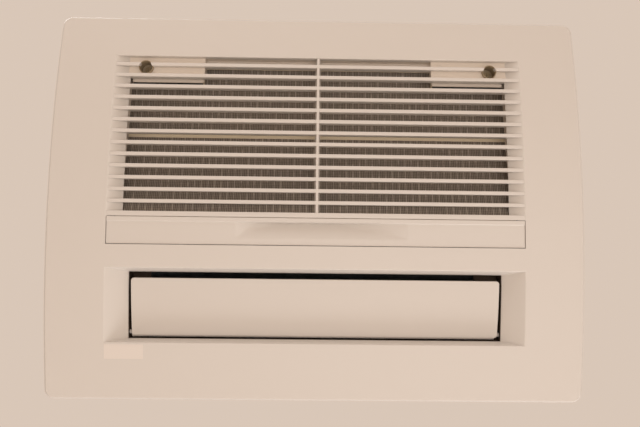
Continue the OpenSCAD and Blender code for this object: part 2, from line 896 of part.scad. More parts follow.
module terminal_block() {
    x1 = box_x1 - sheet;
    ways = 4;
    pitch = 9;
    z = box_z0 + 16;
    color("ivory") difference() {
        block([x1 - 16, gland_y - 12, z], [x1, gland_y - 12 + ways * pitch, z + 18]);
        for (i = [0:ways - 1]) translate([x1 - 9, gland_y - 7.5 + i * pitch, z - 1])
            cylinder(r = 2.4, h = 9);
    }
}

module cable_gland() {
    color("dimgray") difference() {
        union() {
            rod_x_axis(-casing_w / 2 - 14, box_x0 + 9, gland_y, gland_z, gland_r);
            rod_x_axis(-casing_w / 2 - 6, -casing_w / 2, gland_y, gland_z, gland_r + 5);
            rod_x_axis(box_x0 + sheet, box_x0 + sheet + 5, gland_y, gland_z, gland_r + 4);
        }
        rod_x_axis(-casing_w / 2 - 15, box_x0 + 10, gland_y, gland_z, gland_bore);
    }
}

// ---------- room panel ----------

module panel_skin() {
    difference() {
        intersection() {
            translate([0, 0, -60]) linear_extrude(60) panel_outline(0);
            above_face();
        }
        intersection() {
            translate([0, 0, -60]) linear_extrude(61) panel_outline(panel_wall);
            above_face(panel_wall);
        }
    }
}

// Sloping side wall of an opening, between two stations along Y
module side_cheek(x_out, width, depth, y0, y1, t) {
    tilt = atan(depth / width);
    intersection() {
        difference() {
            above_cheek(x_out, tilt);
            above_cheek(x_out, tilt, t);
        }
        block([x_out - width, y0, -60], [x_out + t, y1, 10]);
        face_layer(0, depth + lip_flank);
    }
}

// The outlet recess's -Y and +Y walls
module recess_end_walls() {
    w = 2.5;
    up = recess_depth;
    z0 = face_z(y_out0);
    z1 = face_z(y_out1);
    intersection() {
        along_x(-recess_half, recess_half) {
            polygon([[y_out0, z0], [y_out0 + recess_back * 1.3, z0 + up * 1.3],
                [y_out0 + recess_back * 1.3 - w, z0 + up * 1.3], [y_out0 - w, z0 + 1]]);
            polygon([[y_out1, z1], [y_out1 - recess_front * 1.3, z1 + up * 1.3],
                [y_out1 - recess_front * 1.3 + w, z1 + up * 1.3], [y_out1 + w, z1 + 1]]);
        }
        face_layer(0, recess_depth + lip_flank);
    }
}

module corner_plate() {
    boss_r = access_d / 2 + boss_wall;
    intersection() {
        block([slat_half - plate_len, y_open - 1, -60], [slat_half + 3, plate_y1, 10]);
        face_layer(plate_depth, plate_depth + plate_t);
    }
    intersection() {
        translate([access_x, access_y, -60]) cylinder(r = boss_r, h = 60);
        above_face(plate_depth);
    }
}

module panel_hook() {
    y = in_y - 22;
    along_x(140, 165) polygon([[y, face_z(y) + 1], [y + 2, face_z(y) + 1], [y + 2, 1.8],
        [y + 11, 1.8], [y + 9, 4.5], [y, 4.5]]);
}

module front_panel() {
    color("antiquewhite") difference() {
        union() {
            difference() {
                panel_skin();
                block([-grille_half, y_open, -60], [grille_half, y_strip0, 10]);
                block([-strip_half - 0.4, y_strip0 - tiny, -60],
                    [strip_half + 0.4, y_strip1, 10]);
                block([-recess_half, y_out0, -60], [recess_half, y_out1, 10]);
            }
            both_sides() {
                difference() {
                    side_cheek(grille_half, cheek_w, cheek_depth, y_open, y_strip0, cheek_t);
                    block([slat_half - 1, y_bar, -60],
                        [grille_half - cheek_w / 2, y_strip0 + 1, 10]);
                }
                side_cheek(recess_half, recess_side, recess_depth, y_out0, y_out1, recess_t);
                corner_plate();
                panel_hook();
            }
            recess_end_walls();
            intersection() {
                block([-grille_half, y_open - back_wall_t, -60], [grille_half, y_open, -seat_gap]);
                above_face(1);
            }
            block([-in_x + 2, divider_y - land_rib_t / 2, face_z(divider_y) + 1],
                [in_x - 2, divider_y + land_rib_t / 2, divider_z - seal_t]);
        }
        both_sides() {
            translate([access_x, access_y, -62]) cylinder(r = access_d / 2, h = 60);
            translate([access_x, access_y, -3]) cylinder(r = screw_r + 0.4, h = 5);
        }
    }
}

module panel_tabs() {
    t = 1.5;
    color("silver") both_sides() {
        difference() {
            union() {
                block([access_x - 11, -in_y, 0], [access_x + 11, access_y + 9, t]);
                block([access_x - 11, -in_y, t], [access_x + 11, -in_y + t, 14]);
            }
            translate([access_x, access_y, -1]) cylinder(r = screw_r + screw_gap, h = 5);
        }
        block([136, in_y - 18, 0], [169, in_y, t]);
        block([136, in_y - t, t], [169, in_y, 14]);
    }
}

module panel_screws() {
    color("silver") both_sides() translate([access_x, access_y, -2]) screw(13);
}

module ceiling_gasket() {
    color("dimgray") translate([0, 0, -4]) linear_extrude(4) difference() {
        panel_outline(panel_wall);
        panel_outline(panel_wall + 7);
    }
}

module intake_grille() {
    access = access_d / 2;
    color("antiquewhite") difference() {
        union() {
            intersection() {
                for (i = [0:slat_count - 1])
                    block([-grille_half + 0.8, y_slat + i * slat_step, -60],
                        [grille_half - 0.8, y_slat + i * slat_step + slat_t, 10]);
                face_layer(0, slat_depth);
            }
            intersection() {
                block([-rib_t / 2, y_open, -60], [rib_t / 2, y_bar + 1, 10]);
                face_layer(0, rib_depth);
            }
            intersection() {
                block([-grille_half + 0.8, y_bar, -60], [grille_half - 0.8, y_strip0, 10]);
                face_layer(0, bar_depth);
            }
        }
        both_sides() {
            above_cheek(grille_half, cheek_slope);
            intersection() {
                block([slat_half - plate_len, y_open - 1, -60], [slat_half + 3, plate_y1, 10]);
                above_face(plate_depth);
            }
            intersection() {
                translate([access_x, access_y, -60]) cylinder(r = access + boss_wall, h = 60);
                above_face(plate_depth);
            }
            translate([access_x, access_y, -60]) cylinder(r = access, h = 60);
        }
    }
}

// ---------- filter ----------

module bend_ring(r0, r1) {
    translate(bend_axis) ring_part(r0, r1, 60, 95);
}

module filter_rail() {
    color("antiquewhite") intersection() {
        difference() {
            along_x(rail_web_x - 4.3, rail_web_x + 2.7)
                bend_ring(filter_r - 22, filter_r + frame_t + 2);
            along_x(rail_web_x - 5, rail_web_x)
                bend_ring(filter_r - slide_gap, filter_r + frame_t + slide_gap);
            along_x(rail_web_x - 5, rail_web_x) bend_ring(filter_r - 40, filter_r - 2.2);
        }
        block([0, y_open, -60], [panel_w, y_bar, 40]);
        above_cheek(grille_half, cheek_slope, cheek_t + seat_gap);
        above_face(2.5);
    }
}

module filter_rails() {
    filter_rail();
    mirror([1, 0, 0]) filter_rail();
}

module filter_sheet(r0, r1) {
    along_x(-frame_half, frame_half) bend_ring(r0, r1);
}

// Corner notches that clear the screw bosses
module filter_notches() {
    both_sides() block([notch_x, frame_y0 - 5, -90], [frame_half + 5, notch_y, 60]);
}

// Windows between the frame's ribs: a pair between the notches and two pairs across the frame
module filter_windows() {
    rib = 1.5;
    cross = 2.5;
    narrow = [rib, notch_x - frame_border];
    wide = [rib, frame_half - frame_border];
    rows = [
        [narrow, [frame_y0 + frame_border, notch_y + frame_border - 2 * rib]],
        [wide, [notch_y + frame_border, cross_rib_y - cross]],
        [wide, [cross_rib_y + cross, frame_y1 - frame_border]]
    ];
    both_sides() for (w = rows) block([w[0][0], w[1][0], -90], [w[0][1], w[1][1], 60]);
}

module filter_frame() {
    color("tan") difference() {
        intersection() {
            filter_sheet(filter_r, filter_r + frame_t);
            block([-panel_w, frame_y0, -90], [panel_w, frame_y1, 60]);
        }
        filter_notches();
        filter_windows();
    }
}

module filter_mesh() {
    r0 = filter_r + frame_t / 2 - mesh_t / 2;
    color("dimgray") intersection() {
        filter_sheet(r0, r0 + mesh_t);
        filter_windows();
    }
}

// Space that the finger scoop takes out of the pull strip
module finger_scoop() {
    y0 = y_strip0 + 5;
    fall = atan(scoop_depth / (strip_l - 14));
    r = scoop_half * scoop_half / (2 * scoop_depth);
    intersection() {
        translate([0, y0, face_z(y0) + scoop_depth]) rotate([-fall, 0, 0])
            translate([0, 0, -r]) rotate([-90, 0, 0]) cylinder(r = r, h = 80, center = true, $fn = fine);
        block([-scoop_half * 1.3, y0, -60], [scoop_half * 1.3, y_strip1, 0]);
    }
}

// The strip's back slopes as it slides out, so it thins towards its +Y edge
module strip_body(depth) {
    y1 = y_strip1 - 0.6;
    intersection() {
        block([-strip_half, y_strip0 + 0.4, -60], [strip_half, y1, 0]);
        face_layer(0, depth);
        along_x(-panel_w, panel_w) polygon([[y1, face_z(y1) - 5], [y1, face_z(y1) + 0.5],
            [y1 - 60, face_z(y1) + 0.5 + 60 * tan(pull_angle - 3)], [y1 - 60, -80]]);
    }
}

module filter_handle() {
    color("antiquewhite") difference() {
        union() {
            strip_body(strip_t);
            intersection() {
                strip_body(scoop_depth + 1.8);
                block([-scoop_half - 6, y_strip0 + 3.4, -60], [scoop_half + 6, y_strip1, 0]);
            }
            intersection() {
                block([-frame_half, y_strip0 + 0.4, -60], [frame_half, y_strip0 + 3.4, 0]);
                above_face(1);
                along_x(-panel_w, panel_w) bend_ring(filter_r - 40, filter_r - 0.05);
            }
        }
        finger_scoop();
    }
}

// ---------- outlet ----------

module outlet_chute() {
    w = chute_wall;
    color("antiquewhite") difference() {
        intersection() {
            union() {
                block([-throat_half - w, throat_y0 - w, -60],
                    [throat_half + w, throat_y1 + w, deck_z]);
                block([-throat_half - w, throat_y0 - w, deck_z],
                    [throat_half + w, throat_y1 + 10, deck_top]);
            }
            above_face(recess_depth + lip_flank + seat_gap);
        }
        block([-throat_half, throat_y0, -60], [throat_half, throat_y1, deck_z - tiny]);
        block([bay_in + 2, throat_y0, deck_z - 1], [end_plate_x - 2, throat_y1, deck_top + 1]);
        rod_x_axis(throat_half - 1, throat_half + w + 1, pivot[0], pivot[1], bush_r + run_fit);
        rod_x_axis(-throat_half - w - 1, -throat_half + 1, pivot[0], pivot[1], pivot_r + 0.5);
    }
}

module flap_section(t0, t1) {
    translate(flap_mid) rotate(flap_tilt) translate([0, flap_rise]) difference() {
        circle(flap_arc - t0, $fn = fine);
        circle(flap_arc - t1, $fn = fine);
    }
}

module outlet_flap() {
    ear_t = 2.2;
    color("antiquewhite") {
        intersection() {
            along_x(-flap_half, flap_half) intersection() {
                flap_section(0, flap_t);
                translate(flap_mid) rotate(flap_tilt)
                    square([flap_chord, 30], center = true);
            }
            union() {
                block([-flap_half + 3, flap_y0 - 5, -60], [flap_half - 3, flap_y1 + 5, 30]);
                block([-flap_half, flap_y0 + 3, -60], [flap_half, flap_y1 - 3, 30]);
                for (x = [-1, 1], y = [flap_y0 + 3, flap_y1 - 3])
                    translate([x * (flap_half - 3), y, -60]) cylinder(r = 3, h = 90);
            }
        }
        both_sides() {
            along_x(flap_half - ear_t, flap_half) {
                translate(pivot) circle(4.2);
                intersection() {
                    polygon([pivot + [-4.2, 0], pivot + [2, -3], [flap_y1 - 3, flap_z1 - 6],
                        [flap_y0 + 20, flap_z0 - 2], [flap_y0 + 20, flap_z0 + 7]]);
                    translate(flap_mid) rotate(flap_tilt) translate([0, flap_rise])
                        circle(flap_arc - flap_t / 2, $fn = fine);
                }
            }
            rod_x_axis(flap_half - tiny, throat_half + chute_wall + 6, pivot[0], pivot[1], pivot_r);
        }
    }
}

module flap_bush() {
    color("white") difference() {
        union() {
            rod_x_axis(throat_half - 0.5, throat_half + chute_wall + 4, pivot[0], pivot[1], bush_r);
            rod_x_axis(throat_half + chute_wall, throat_half + chute_wall + 1.5, pivot[0],
                pivot[1], bush_r + 2);
        }
        rod_x_axis(throat_half - 2, throat_half + chute_wall + 7, pivot[0], pivot[1],
            pivot_r + run_fit);
    }
}

module flap_motor() {
    x = -throat_half - chute_wall;
    up = 5;
    color("silver") difference() {
        union() {
            rod_x_axis(x - flap_motor_len, x, pivot[0], pivot[1] + up, flap_motor_r);
            rod_x_axis(x - 1, x, pivot[0] - 12, pivot[1] + up, 3);
            rod_x_axis(x - 1, x, pivot[0] + 12, pivot[1] + up, 3);
        }
        rod_x_axis(x - 8, x + 1, pivot[0], pivot[1], pivot_r + run_fit);
    }
}

module divider_seal() {
    color("dimgray") block([-in_x + 2, divider_y - 2, divider_z - seal_t],
        [in_x - 2, divider_y + 2, divider_z]);
}

module room_sensor() {
    color("white") block([slat_half - 40, y_open - 10, face_z(y_open - 10) + panel_wall + 0.7],
        [slat_half - 28, y_open - 4, face_z(y_open - 10) + panel_wall + 6]);
}

module blank_label() {
    label = [43, 16.1];
    label_t = 0.25;
    color("white") intersection() {
        block([-recess_half + 0.3, y_out1 + 2.1, -60],
            [-recess_half + 0.3 + label[0], y_out1 + 2.1 + label[1], 0]);
        face_layer(-label_t, 0);
    }
}

casing_top();
casing_side_walls();
casing_end_ducts();
casing_end_wiring();
hanger_brackets();
hanger_screws();
end_bulkhead();
compartment_floor();
return_partition();
exhaust_partition();
bottom_divider();
top_core_rail();
core_seals();
core_end_pads();
core_blocks();
outdoor_filter();
outdoor_plenum_liner();
scroll_guide();
scroll_tongue();
scroll_end_plate();
fan_bearing();
supply_fan_motor();
supply_motor_screws();
supply_impeller();
supply_shaft();
exhaust_scroll();
exhaust_fan_motor();
exhaust_impeller();
exhaust_shaft();
outdoor_spigot();
exhaust_spigot();
spigot_screws();
outdoor_shutter_pin();
outdoor_shutter_left();
outdoor_shutter_right();
exhaust_shutter_pin();
exhaust_shutter_left();
exhaust_shutter_right();
control_box();
control_box_lid();
control_lid_screws();
control_board();
terminal_block();
cable_gland();
front_panel();
panel_tabs();
panel_screws();
ceiling_gasket();
intake_grille();
filter_rails();
filter_frame();
filter_mesh();
filter_handle();
outlet_chute();
outlet_flap();
flap_bush();
flap_motor();
divider_seal();
room_sensor();
blank_label();
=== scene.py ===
import math

import bmesh
import bpy
from mathutils import Matrix, Vector


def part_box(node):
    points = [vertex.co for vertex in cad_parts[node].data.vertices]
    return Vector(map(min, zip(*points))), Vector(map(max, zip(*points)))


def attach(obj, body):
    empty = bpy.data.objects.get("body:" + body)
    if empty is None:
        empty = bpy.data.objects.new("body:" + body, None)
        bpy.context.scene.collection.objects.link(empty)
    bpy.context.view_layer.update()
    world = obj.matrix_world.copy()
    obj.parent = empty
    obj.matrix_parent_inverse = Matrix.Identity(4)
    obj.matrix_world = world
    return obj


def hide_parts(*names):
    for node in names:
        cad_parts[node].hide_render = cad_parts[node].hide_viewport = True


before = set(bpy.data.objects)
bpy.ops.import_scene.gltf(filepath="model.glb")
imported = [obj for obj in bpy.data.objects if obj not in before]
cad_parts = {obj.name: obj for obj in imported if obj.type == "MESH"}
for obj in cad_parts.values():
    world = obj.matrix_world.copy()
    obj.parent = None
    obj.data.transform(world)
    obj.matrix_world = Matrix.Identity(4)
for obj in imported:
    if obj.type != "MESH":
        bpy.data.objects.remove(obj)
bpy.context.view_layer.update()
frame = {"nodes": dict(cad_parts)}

bl_info = {
    "name": "Ceiling heat recovery unit",
    "version": (1, 0, 0),
    "blender": (4, 5, 0),
    "location": "View3D > Sidebar > Heat Recovery",
    "description": "Dresses a ceiling heat recovery ventilator in moulded plastic and sheet metal",
    "category": "Object",
}

MM = 0.001

# Panel stations in millimetres, on the ceiling plane's own axes
PANEL_HALF_X = 300.0
PANEL_HALF_Y = 220.0
RIM = 8.0
CROWN = 22.0
WALL = 3.0
PANEL_CORNER = 10.5
ARC_R = (PANEL_HALF_Y**2 + CROWN**2) / (2 * CROWN)
OPEN_X = 233.5
OPEN_Y = -170.5
BAR_Y = 11.0
STRIP_Y0 = 16.9
STRIP_Y1 = 48.2
CHEEK_W = 16.0
CHEEK_DEEP = 8.0
RECESS_Y0 = 73.8
RECESS_Y1 = 156.3
RECESS_DEEP = 14.5
THROAT_X = 210.5
THROAT_Y0 = 78.3
THROAT_Y1 = 153.0
SLAT_Y = -162.5
SLAT_COUNT = 13
SLAT_STEP = (BAR_Y - SLAT_Y) / SLAT_COUNT
SLAT_T = 4.2
SLAT_DEEP = 11.0
RIB_DEEP = 9.2
HOLE = (199.5, -157.5, 7.5)
PLATE_X = 132.0
PLATE_Y1 = SLAT_Y + SLAT_STEP
PLATE_END_X = 220.5
PLATE_DEEP = 7.0
PLATE_T = 2.5
LEDGE_DEEP = 12.2
LEDGE_X = 216.0
LEDGE_Y1 = -141.9
BEND_AXIS = (-181.731, -587.949)
FILTER_R = 600.0
FRAME_T = 2.5
FRAME_LIFT = 0.5
FRAME_X = 226.0
FRAME_Y0 = -166.5
FRAME_Y1 = 18.9
NET_T = 0.7
NET_LIFT = 0.9
FLAP_Y0 = 85.2
FLAP_Y1 = 149.5
FLAP_X = 207.0
FLAP_ARC = 420.0
FLAP_T = 2.2
FLAP_CORNER = 3.4
ROLL_R = 5.6
ROLL_T = 0.9
PIN_R = 2.45


def face_z(y):
    """Height of the dome's face at y"""
    return ARC_R - RIM - CROWN - math.sqrt(ARC_R * ARC_R - y * y)


def filter_z(y):
    """Height of the filter's arc at y"""
    return BEND_AXIS[1] + math.sqrt(FILTER_R**2 - (y - BEND_AXIS[0]) ** 2)


FLAP_Z0 = face_z(FLAP_Y0) + RECESS_DEEP - 4.4
FLAP_Z1 = face_z(FLAP_Y1) + RECESS_DEEP + 2.2
PIVOT = (FLAP_Y1 - 3.5, FLAP_Z1 + 5)


# ---------- sizes and colours that a user would change ----------


class HRU_Sizes(bpy.types.PropertyGroup):
    panel_edge: bpy.props.FloatProperty(
        name="Panel edge", description="Rounding round the panel's outer edge",
        default=2.4 * MM, unit="LENGTH", subtype="DISTANCE")
    recess_edge: bpy.props.FloatProperty(
        name="Recess edge", description="Rounding round the outlet recess",
        default=0.9 * MM, unit="LENGTH", subtype="DISTANCE")
    slat_edge: bpy.props.FloatProperty(
        name="Slat edge", description="Rounding along the front of each slat",
        default=0.9 * MM, unit="LENGTH", subtype="DISTANCE")
    flap_edge: bpy.props.FloatProperty(
        name="Flap edge", description="Rounding round the outlet flap",
        default=0.6 * MM, unit="LENGTH", subtype="DISTANCE")
    scoop_deep: bpy.props.FloatProperty(
        name="Scoop depth", description="Depth of the finger scoop in the pull strip",
        default=7.0 * MM, unit="LENGTH", subtype="DISTANCE")
    thread_pitch: bpy.props.FloatProperty(
        name="Thread pitch", description="Spacing of the net's fine threads as drawn",
        default=2.0 * MM, unit="LENGTH", subtype="DISTANCE")
    cord_pitch: bpy.props.FloatProperty(
        name="Cord pitch", description="Spacing of the net's thicker threads",
        default=7.6 * MM, unit="LENGTH", subtype="DISTANCE")


class HRU_Colours(bpy.types.PropertyGroup):
    plastic: bpy.props.StringProperty(
        name="Panel plastic", description="sRGB colour of the room panel", default="D3CEC8")
    net_dark: bpy.props.StringProperty(
        name="Net ground", description="sRGB colour between the net's threads", default="5A5048")
    net_light: bpy.props.StringProperty(
        name="Net thread", description="sRGB colour of the net's threads", default="B6ADA1")
    zinc: bpy.props.StringProperty(
        name="Galvanised sheet", description="sRGB colour of the casing's zinc", default="B9BEC2")
    floor: bpy.props.StringProperty(
        name="Floor", description="sRGB colour of the floor", default="E2D8CE")


# ---------- materials ----------


def linear(code):
    """An sRGB hex colour as linear RGBA"""
    parts = [int(code[i:i + 2], 16) / 255 for i in (0, 2, 4)]
    return tuple(c / 12.92 if c <= 0.04045 else ((c + 0.055) / 1.055) ** 2.4 for c in parts) + (1.0,)


def add_node(tree, kind, settings=None, links=None, stops=()):
    """Adds one node; settings are properties or socket values, links are socket to source socket"""
    made = tree.nodes.new(kind)
    for key, value in (settings or {}).items():
        if isinstance(key, str) and hasattr(made, key):
            setattr(made, key, value)
        else:
            made.inputs[key].default_value = value
    for key, source in (links or {}).items():
        tree.links.new(source, made.inputs[key])
    for index, (place, colour) in enumerate(stops):
        element = made.color_ramp.elements[index]
        element.position = place
        element.color = colour
    return made


def new_material(name, settings):
    """A material with one Principled shader whose constants sit on its own sockets"""
    mat = bpy.data.materials.new(name)
    mat.use_nodes = True
    tree = mat.node_tree
    tree.nodes.clear()
    shader = add_node(tree, "ShaderNodeBsdfPrincipled", settings)
    add_node(tree, "ShaderNodeOutputMaterial", links={"Surface": shader.outputs["BSDF"]})
    return mat, tree, shader


def grain(tree, shader, size_mm, height_mm, strength, shades=None, detail=2.0, stretch=(1, 1, 1)):
    """Fine relief, and a little colour change, from one noise at a real size in millimetres"""
    place = add_node(tree, "ShaderNodeTexCoord")
    turned = add_node(tree, "ShaderNodeMapping", {"Scale": stretch}, {"Vector": place.outputs["Object"]})
    noise = add_node(tree, "ShaderNodeTexNoise", {"Scale": 1 / (size_mm * MM), "Detail": detail},
                     {"Vector": turned.outputs["Vector"]})
    bump = add_node(tree, "ShaderNodeBump", {"Strength": strength, "Distance": height_mm * MM},
                    {"Height": noise.outputs["Fac"]})
    tree.links.new(bump.outputs["Normal"], shader.inputs["Normal"])
    if shades:
        colours = add_node(tree, "ShaderNodeValToRGB", links={"Fac": noise.outputs["Fac"]},
                           stops=((0.3, linear(shades[0])), (0.7, linear(shades[1]))))
        tree.links.new(colours.outputs["Color"], shader.inputs["Base Color"])


def moulded_abs(name, code, rough=0.42):
    """Moulded ABS: a warm pale plastic with a soft sheen and a faint spark-eroded grain"""
    mat, tree, shader = new_material(name, {"Base Color": linear(code), "Roughness": rough, "IOR": 1.54})
    # The real grain is near 0.1 mm; it is drawn at 1.2 mm so that it shows at all
    grain(tree, shader, 1.2, 0.05, 0.12)
    return mat


def woven_net(name, colours, sizes):
    """Woven polyester net: dark between matt threads, with a thicker light thread at each cord pitch"""
    mat, tree, shader = new_material(name, {"Roughness": 0.8, "IOR": 1.5})
    place = add_node(tree, "ShaderNodeTexCoord")
    # Real threads stand 0.5 mm apart; they are drawn at the thread pitch, four times as coarse
    fine = add_node(tree, "ShaderNodeTexWave",
                    {"wave_type": "BANDS", "bands_direction": "X", "wave_profile": "SIN",
                     "Scale": 2 * math.pi / (20 * sizes.thread_pitch), "Distortion": 1.2, "Detail": 2.0,
                     "Detail Scale": 0.6},
                    {"Vector": place.outputs["Object"]})
    across = add_node(tree, "ShaderNodeTexWave",
                      {"wave_type": "BANDS", "bands_direction": "Y", "wave_profile": "SIN",
                       "Scale": 2 * math.pi / (20 * sizes.thread_pitch), "Distortion": 0.6},
                      {"Vector": place.outputs["Object"]})
    cord = add_node(tree, "ShaderNodeTexWave",
                    {"wave_type": "BANDS", "bands_direction": "X", "wave_profile": "SIN",
                     "Scale": 2 * math.pi / (20 * sizes.cord_pitch), "Distortion": 0.15},
                    {"Vector": place.outputs["Object"]})
    patch = add_node(tree, "ShaderNodeTexNoise", {"Scale": 1 / (9 * MM), "Detail": 2.0},
                     {"Vector": place.outputs["Object"]})
    thread = add_node(tree, "ShaderNodeMath", {"operation": "MULTIPLY", 1: 0.5}, {0: fine.outputs["Fac"]})
    weft = add_node(tree, "ShaderNodeMath", {"operation": "MULTIPLY_ADD", 1: 0.22},
                    {0: across.outputs["Fac"], 2: thread.outputs["Value"]})
    line = add_node(tree, "ShaderNodeValToRGB", links={"Fac": cord.outputs["Fac"]},
                    stops=((0.8, (0, 0, 0, 1)), (0.98, (1, 1, 1, 1))))
    loose = add_node(tree, "ShaderNodeMapRange", {"From Min": 0.35, "From Max": 0.62, "To Max": 0.5},
                     {"Value": patch.outputs["Fac"]})
    uneven = add_node(tree, "ShaderNodeMath", {"operation": "MULTIPLY"},
                      {0: line.outputs["Color"], 1: loose.outputs["Result"]})
    amount = add_node(tree, "ShaderNodeMath", {"operation": "ADD", "use_clamp": True},
                      {0: weft.outputs["Value"], 1: uneven.outputs["Value"]})
    colour = add_node(tree, "ShaderNodeValToRGB", links={"Fac": amount.outputs["Value"]},
                      stops=((0.05, linear(colours.net_dark)), (0.95, linear(colours.net_light))))
    tree.links.new(colour.outputs["Color"], shader.inputs["Base Color"])
    bump = add_node(tree, "ShaderNodeBump", {"Strength": 0.5, "Distance": 0.3 * MM},
                    {"Height": amount.outputs["Value"]})
    tree.links.new(bump.outputs["Normal"], shader.inputs["Normal"])
    return mat


def galvanised(name, code):
    """Hot-dip galvanised steel: cold grey zinc with large flat spangles of differing brightness"""
    mat, tree, shader = new_material(name, {"Metallic": 1.0, "Roughness": 0.42})
    place = add_node(tree, "ShaderNodeTexCoord")
    spangle = add_node(tree, "ShaderNodeTexVoronoi", {"feature": "F1", "Scale": 1 / (8 * MM)},
                       {"Vector": place.outputs["Object"]})
    value = add_node(tree, "ShaderNodeSeparateColor", links={"Color": spangle.outputs["Color"]})
    light = linear(code)
    dark = tuple(c * 0.86 for c in light[:3]) + (1.0,)
    colour = add_node(tree, "ShaderNodeValToRGB", links={"Fac": value.outputs["Red"]},
                      stops=((0.0, dark), (1.0, light)))
    tree.links.new(colour.outputs["Color"], shader.inputs["Base Color"])
    rough = add_node(tree, "ShaderNodeMapRange", {"To Min": 0.42, "To Max": 0.56},
                     {"Value": value.outputs["Green"]})
    tree.links.new(rough.outputs["Result"], shader.inputs["Roughness"])
    return mat


def plain_metal(name, code, rough, brushed=None):
    """Bare metal, with drawing lines along one axis where it was brushed or drawn"""
    mat, tree, shader = new_material(
        name, {"Base Color": linear(code), "Metallic": 1.0, "Roughness": rough})
    grain(tree, shader, 1.5, 0.03, 0.1, stretch=brushed or (1, 1, 1))
    return mat


def soft_foam(name, codes, cell_mm, rough=0.95):
    """Foamed rubber or felt: matt, with small open cells"""
    mat, tree, shader = new_material(name, {"Roughness": rough, "IOR": 1.45})
    grain(tree, shader, cell_mm, 0.6, 0.5, codes, 4.0)
    return mat


def grained_plastic(name, codes, rough, size_mm=1.5):
    """Moulded technical plastic with a matt tool grain"""
    mat, tree, shader = new_material(name, {"Roughness": rough, "IOR": 1.5})
    grain(tree, shader, size_mm, 0.05, 0.15, codes)
    return mat


MATERIALS = {}


def make_materials():
    scene = bpy.context.scene
    colours, sizes = scene.hru_colours, scene.hru_sizes
    MATERIALS.update({
        "abs": moulded_abs("moulded_abs_warm_white", colours.plastic),
        # The panel's plastic made lighter: painted light for the screw-pocket plates, back wall and filter
        # rails, which sit in shade deep behind the grille
        "abs_lightened": moulded_abs("moulded_abs_painted_light", "E4DACE", 0.5),
        # Drawn dark brown: painted shade for the outlet chute, a light plastic whose throat lies in shade
        # behind the flap
        "duct": soft_foam("chute_painted_shade", ("46392E", "524336"), 2.5, 0.8),
        # Drawn olive-brown: painted shade inside the screw-pocket holes
        "abs_shaded": moulded_abs("moulded_abs_painted_shade", "A3937A", 0.6),
        # Drawn olive-brown instead of steel grey: painted shade at the bottom of the screw-pocket holes
        "screw_shaded": plain_metal("screw_steel_painted_shade", "91836B", 0.5),
        "net": woven_net("woven_polyester_net", colours, sizes),
        # Made lighter: painted light for the filter frame's bars, which lie in shade behind the slats
        "filter_abs_lightened": moulded_abs("moulded_polypropylene_frame_painted_light", "EBDEC4", 0.55),
        "zinc": galvanised("hot_dip_galvanised_steel", colours.zinc),
        "steel": plain_metal("zinc_plated_steel", "C4C6C8", 0.28),
        "shaft": plain_metal("ground_steel_bar", "D2D4D6", 0.2, (1, 8, 8)),
        "aluminium": plain_metal("rolled_aluminium_sheet", "D8DADC", 0.3, (1, 1, 0.1)),
        "motor": grained_plastic("powder_coated_motor_case", ("4B4F54", "5A5E63"), 0.5),
        "paper": grained_plastic("treated_exchanger_paper", ("E7E2D3", "F1ECDF"), 0.9, 0.8),
        "pleats": grained_plastic("pleated_glass_paper", ("E9EAE8", "F4F4F2"), 0.9, 0.8),
        "foam": soft_foam("black_polyurethane_foam", ("26272A", "3A3B3F"), 1.6),
        "white_foam": soft_foam("white_polystyrene_foam", ("E3E4E2", "F2F2F0"), 4.0, 0.8),
        "impeller": grained_plastic("glass_filled_nylon", ("3C4248", "474E55"), 0.5),
        "white": grained_plastic("white_polycarbonate", ("EDEDEA", "F5F5F2"), 0.35),
        "rubber": grained_plastic("moulded_nitrile_rubber", ("222326", "2C2D30"), 0.7),
        "board": grained_plastic("glass_epoxy_board", ("1F5B38", "2A6E46"), 0.4, 3.0),
        "black": grained_plastic("black_polyamide", ("1E1F21", "2A2B2D"), 0.45),
        "film": moulded_abs("printed_polyester_film", "DDD6CF", 0.3),
    })


# ---------- modelling helpers ----------


def rounded(bm, edges, width, segments=3):
    """Bevels chosen edges"""
    found = [e for e in edges if e.is_valid]
    if found:
        bmesh.ops.bevel(bm, geom=found, offset=width, offset_type="OFFSET", segments=segments,
                        profile=0.5, affect="EDGES", material=-1, clamp_overlap=True)


def pushed(bm, faces):
    """Extrudes faces and gives the new points, which still lie on the old ones"""
    made = bmesh.ops.extrude_face_region(bm, geom=faces)["geom"]
    return [g for g in made if isinstance(g, bmesh.types.BMVert)]


def extruded(bm, verts, shift):
    """A closed prism from a ring of points moved along shift"""
    face = bm.faces.new([bm.verts.new(v) for v in verts])
    bmesh.ops.translate(bm, vec=shift, verts=pushed(bm, [face]))


def rod(bm, centre, axis, r, length, segments=32, r2=None):
    """A closed cylinder or cone that starts at centre and runs along axis"""
    made = bmesh.ops.create_cone(bm, cap_ends=True, segments=segments, radius1=r,
                                 radius2=r if r2 is None else r2, depth=length)["verts"]
    turn = Vector((0, 0, 1)).rotation_difference(Vector(axis)).to_matrix()
    bmesh.ops.translate(bm, vec=(0, 0, length / 2), verts=made)
    bmesh.ops.rotate(bm, matrix=turn, verts=made)
    bmesh.ops.translate(bm, vec=centre, verts=made)


def spun(bm, profile, centre, axis, segments=40):
    """A turned piece: a closed profile of (radius, height) points spun round axis"""
    turn = Vector((0, 0, 1)).rotation_difference(Vector(axis)).to_matrix().to_4x4()
    place = Matrix.Translation(centre) @ turn
    ring = [bm.verts.new(place @ Vector((r, 0, h))) for r, h in profile]
    face = bm.faces.new(ring)
    edges = list(face.edges)
    bmesh.ops.delete(bm, geom=[face], context="FACES_ONLY")
    bmesh.ops.spin(bm, geom=edges, cent=centre, axis=axis, angle=2 * math.pi, steps=segments,
                   use_merge=True, dvec=(0, 0, 0))


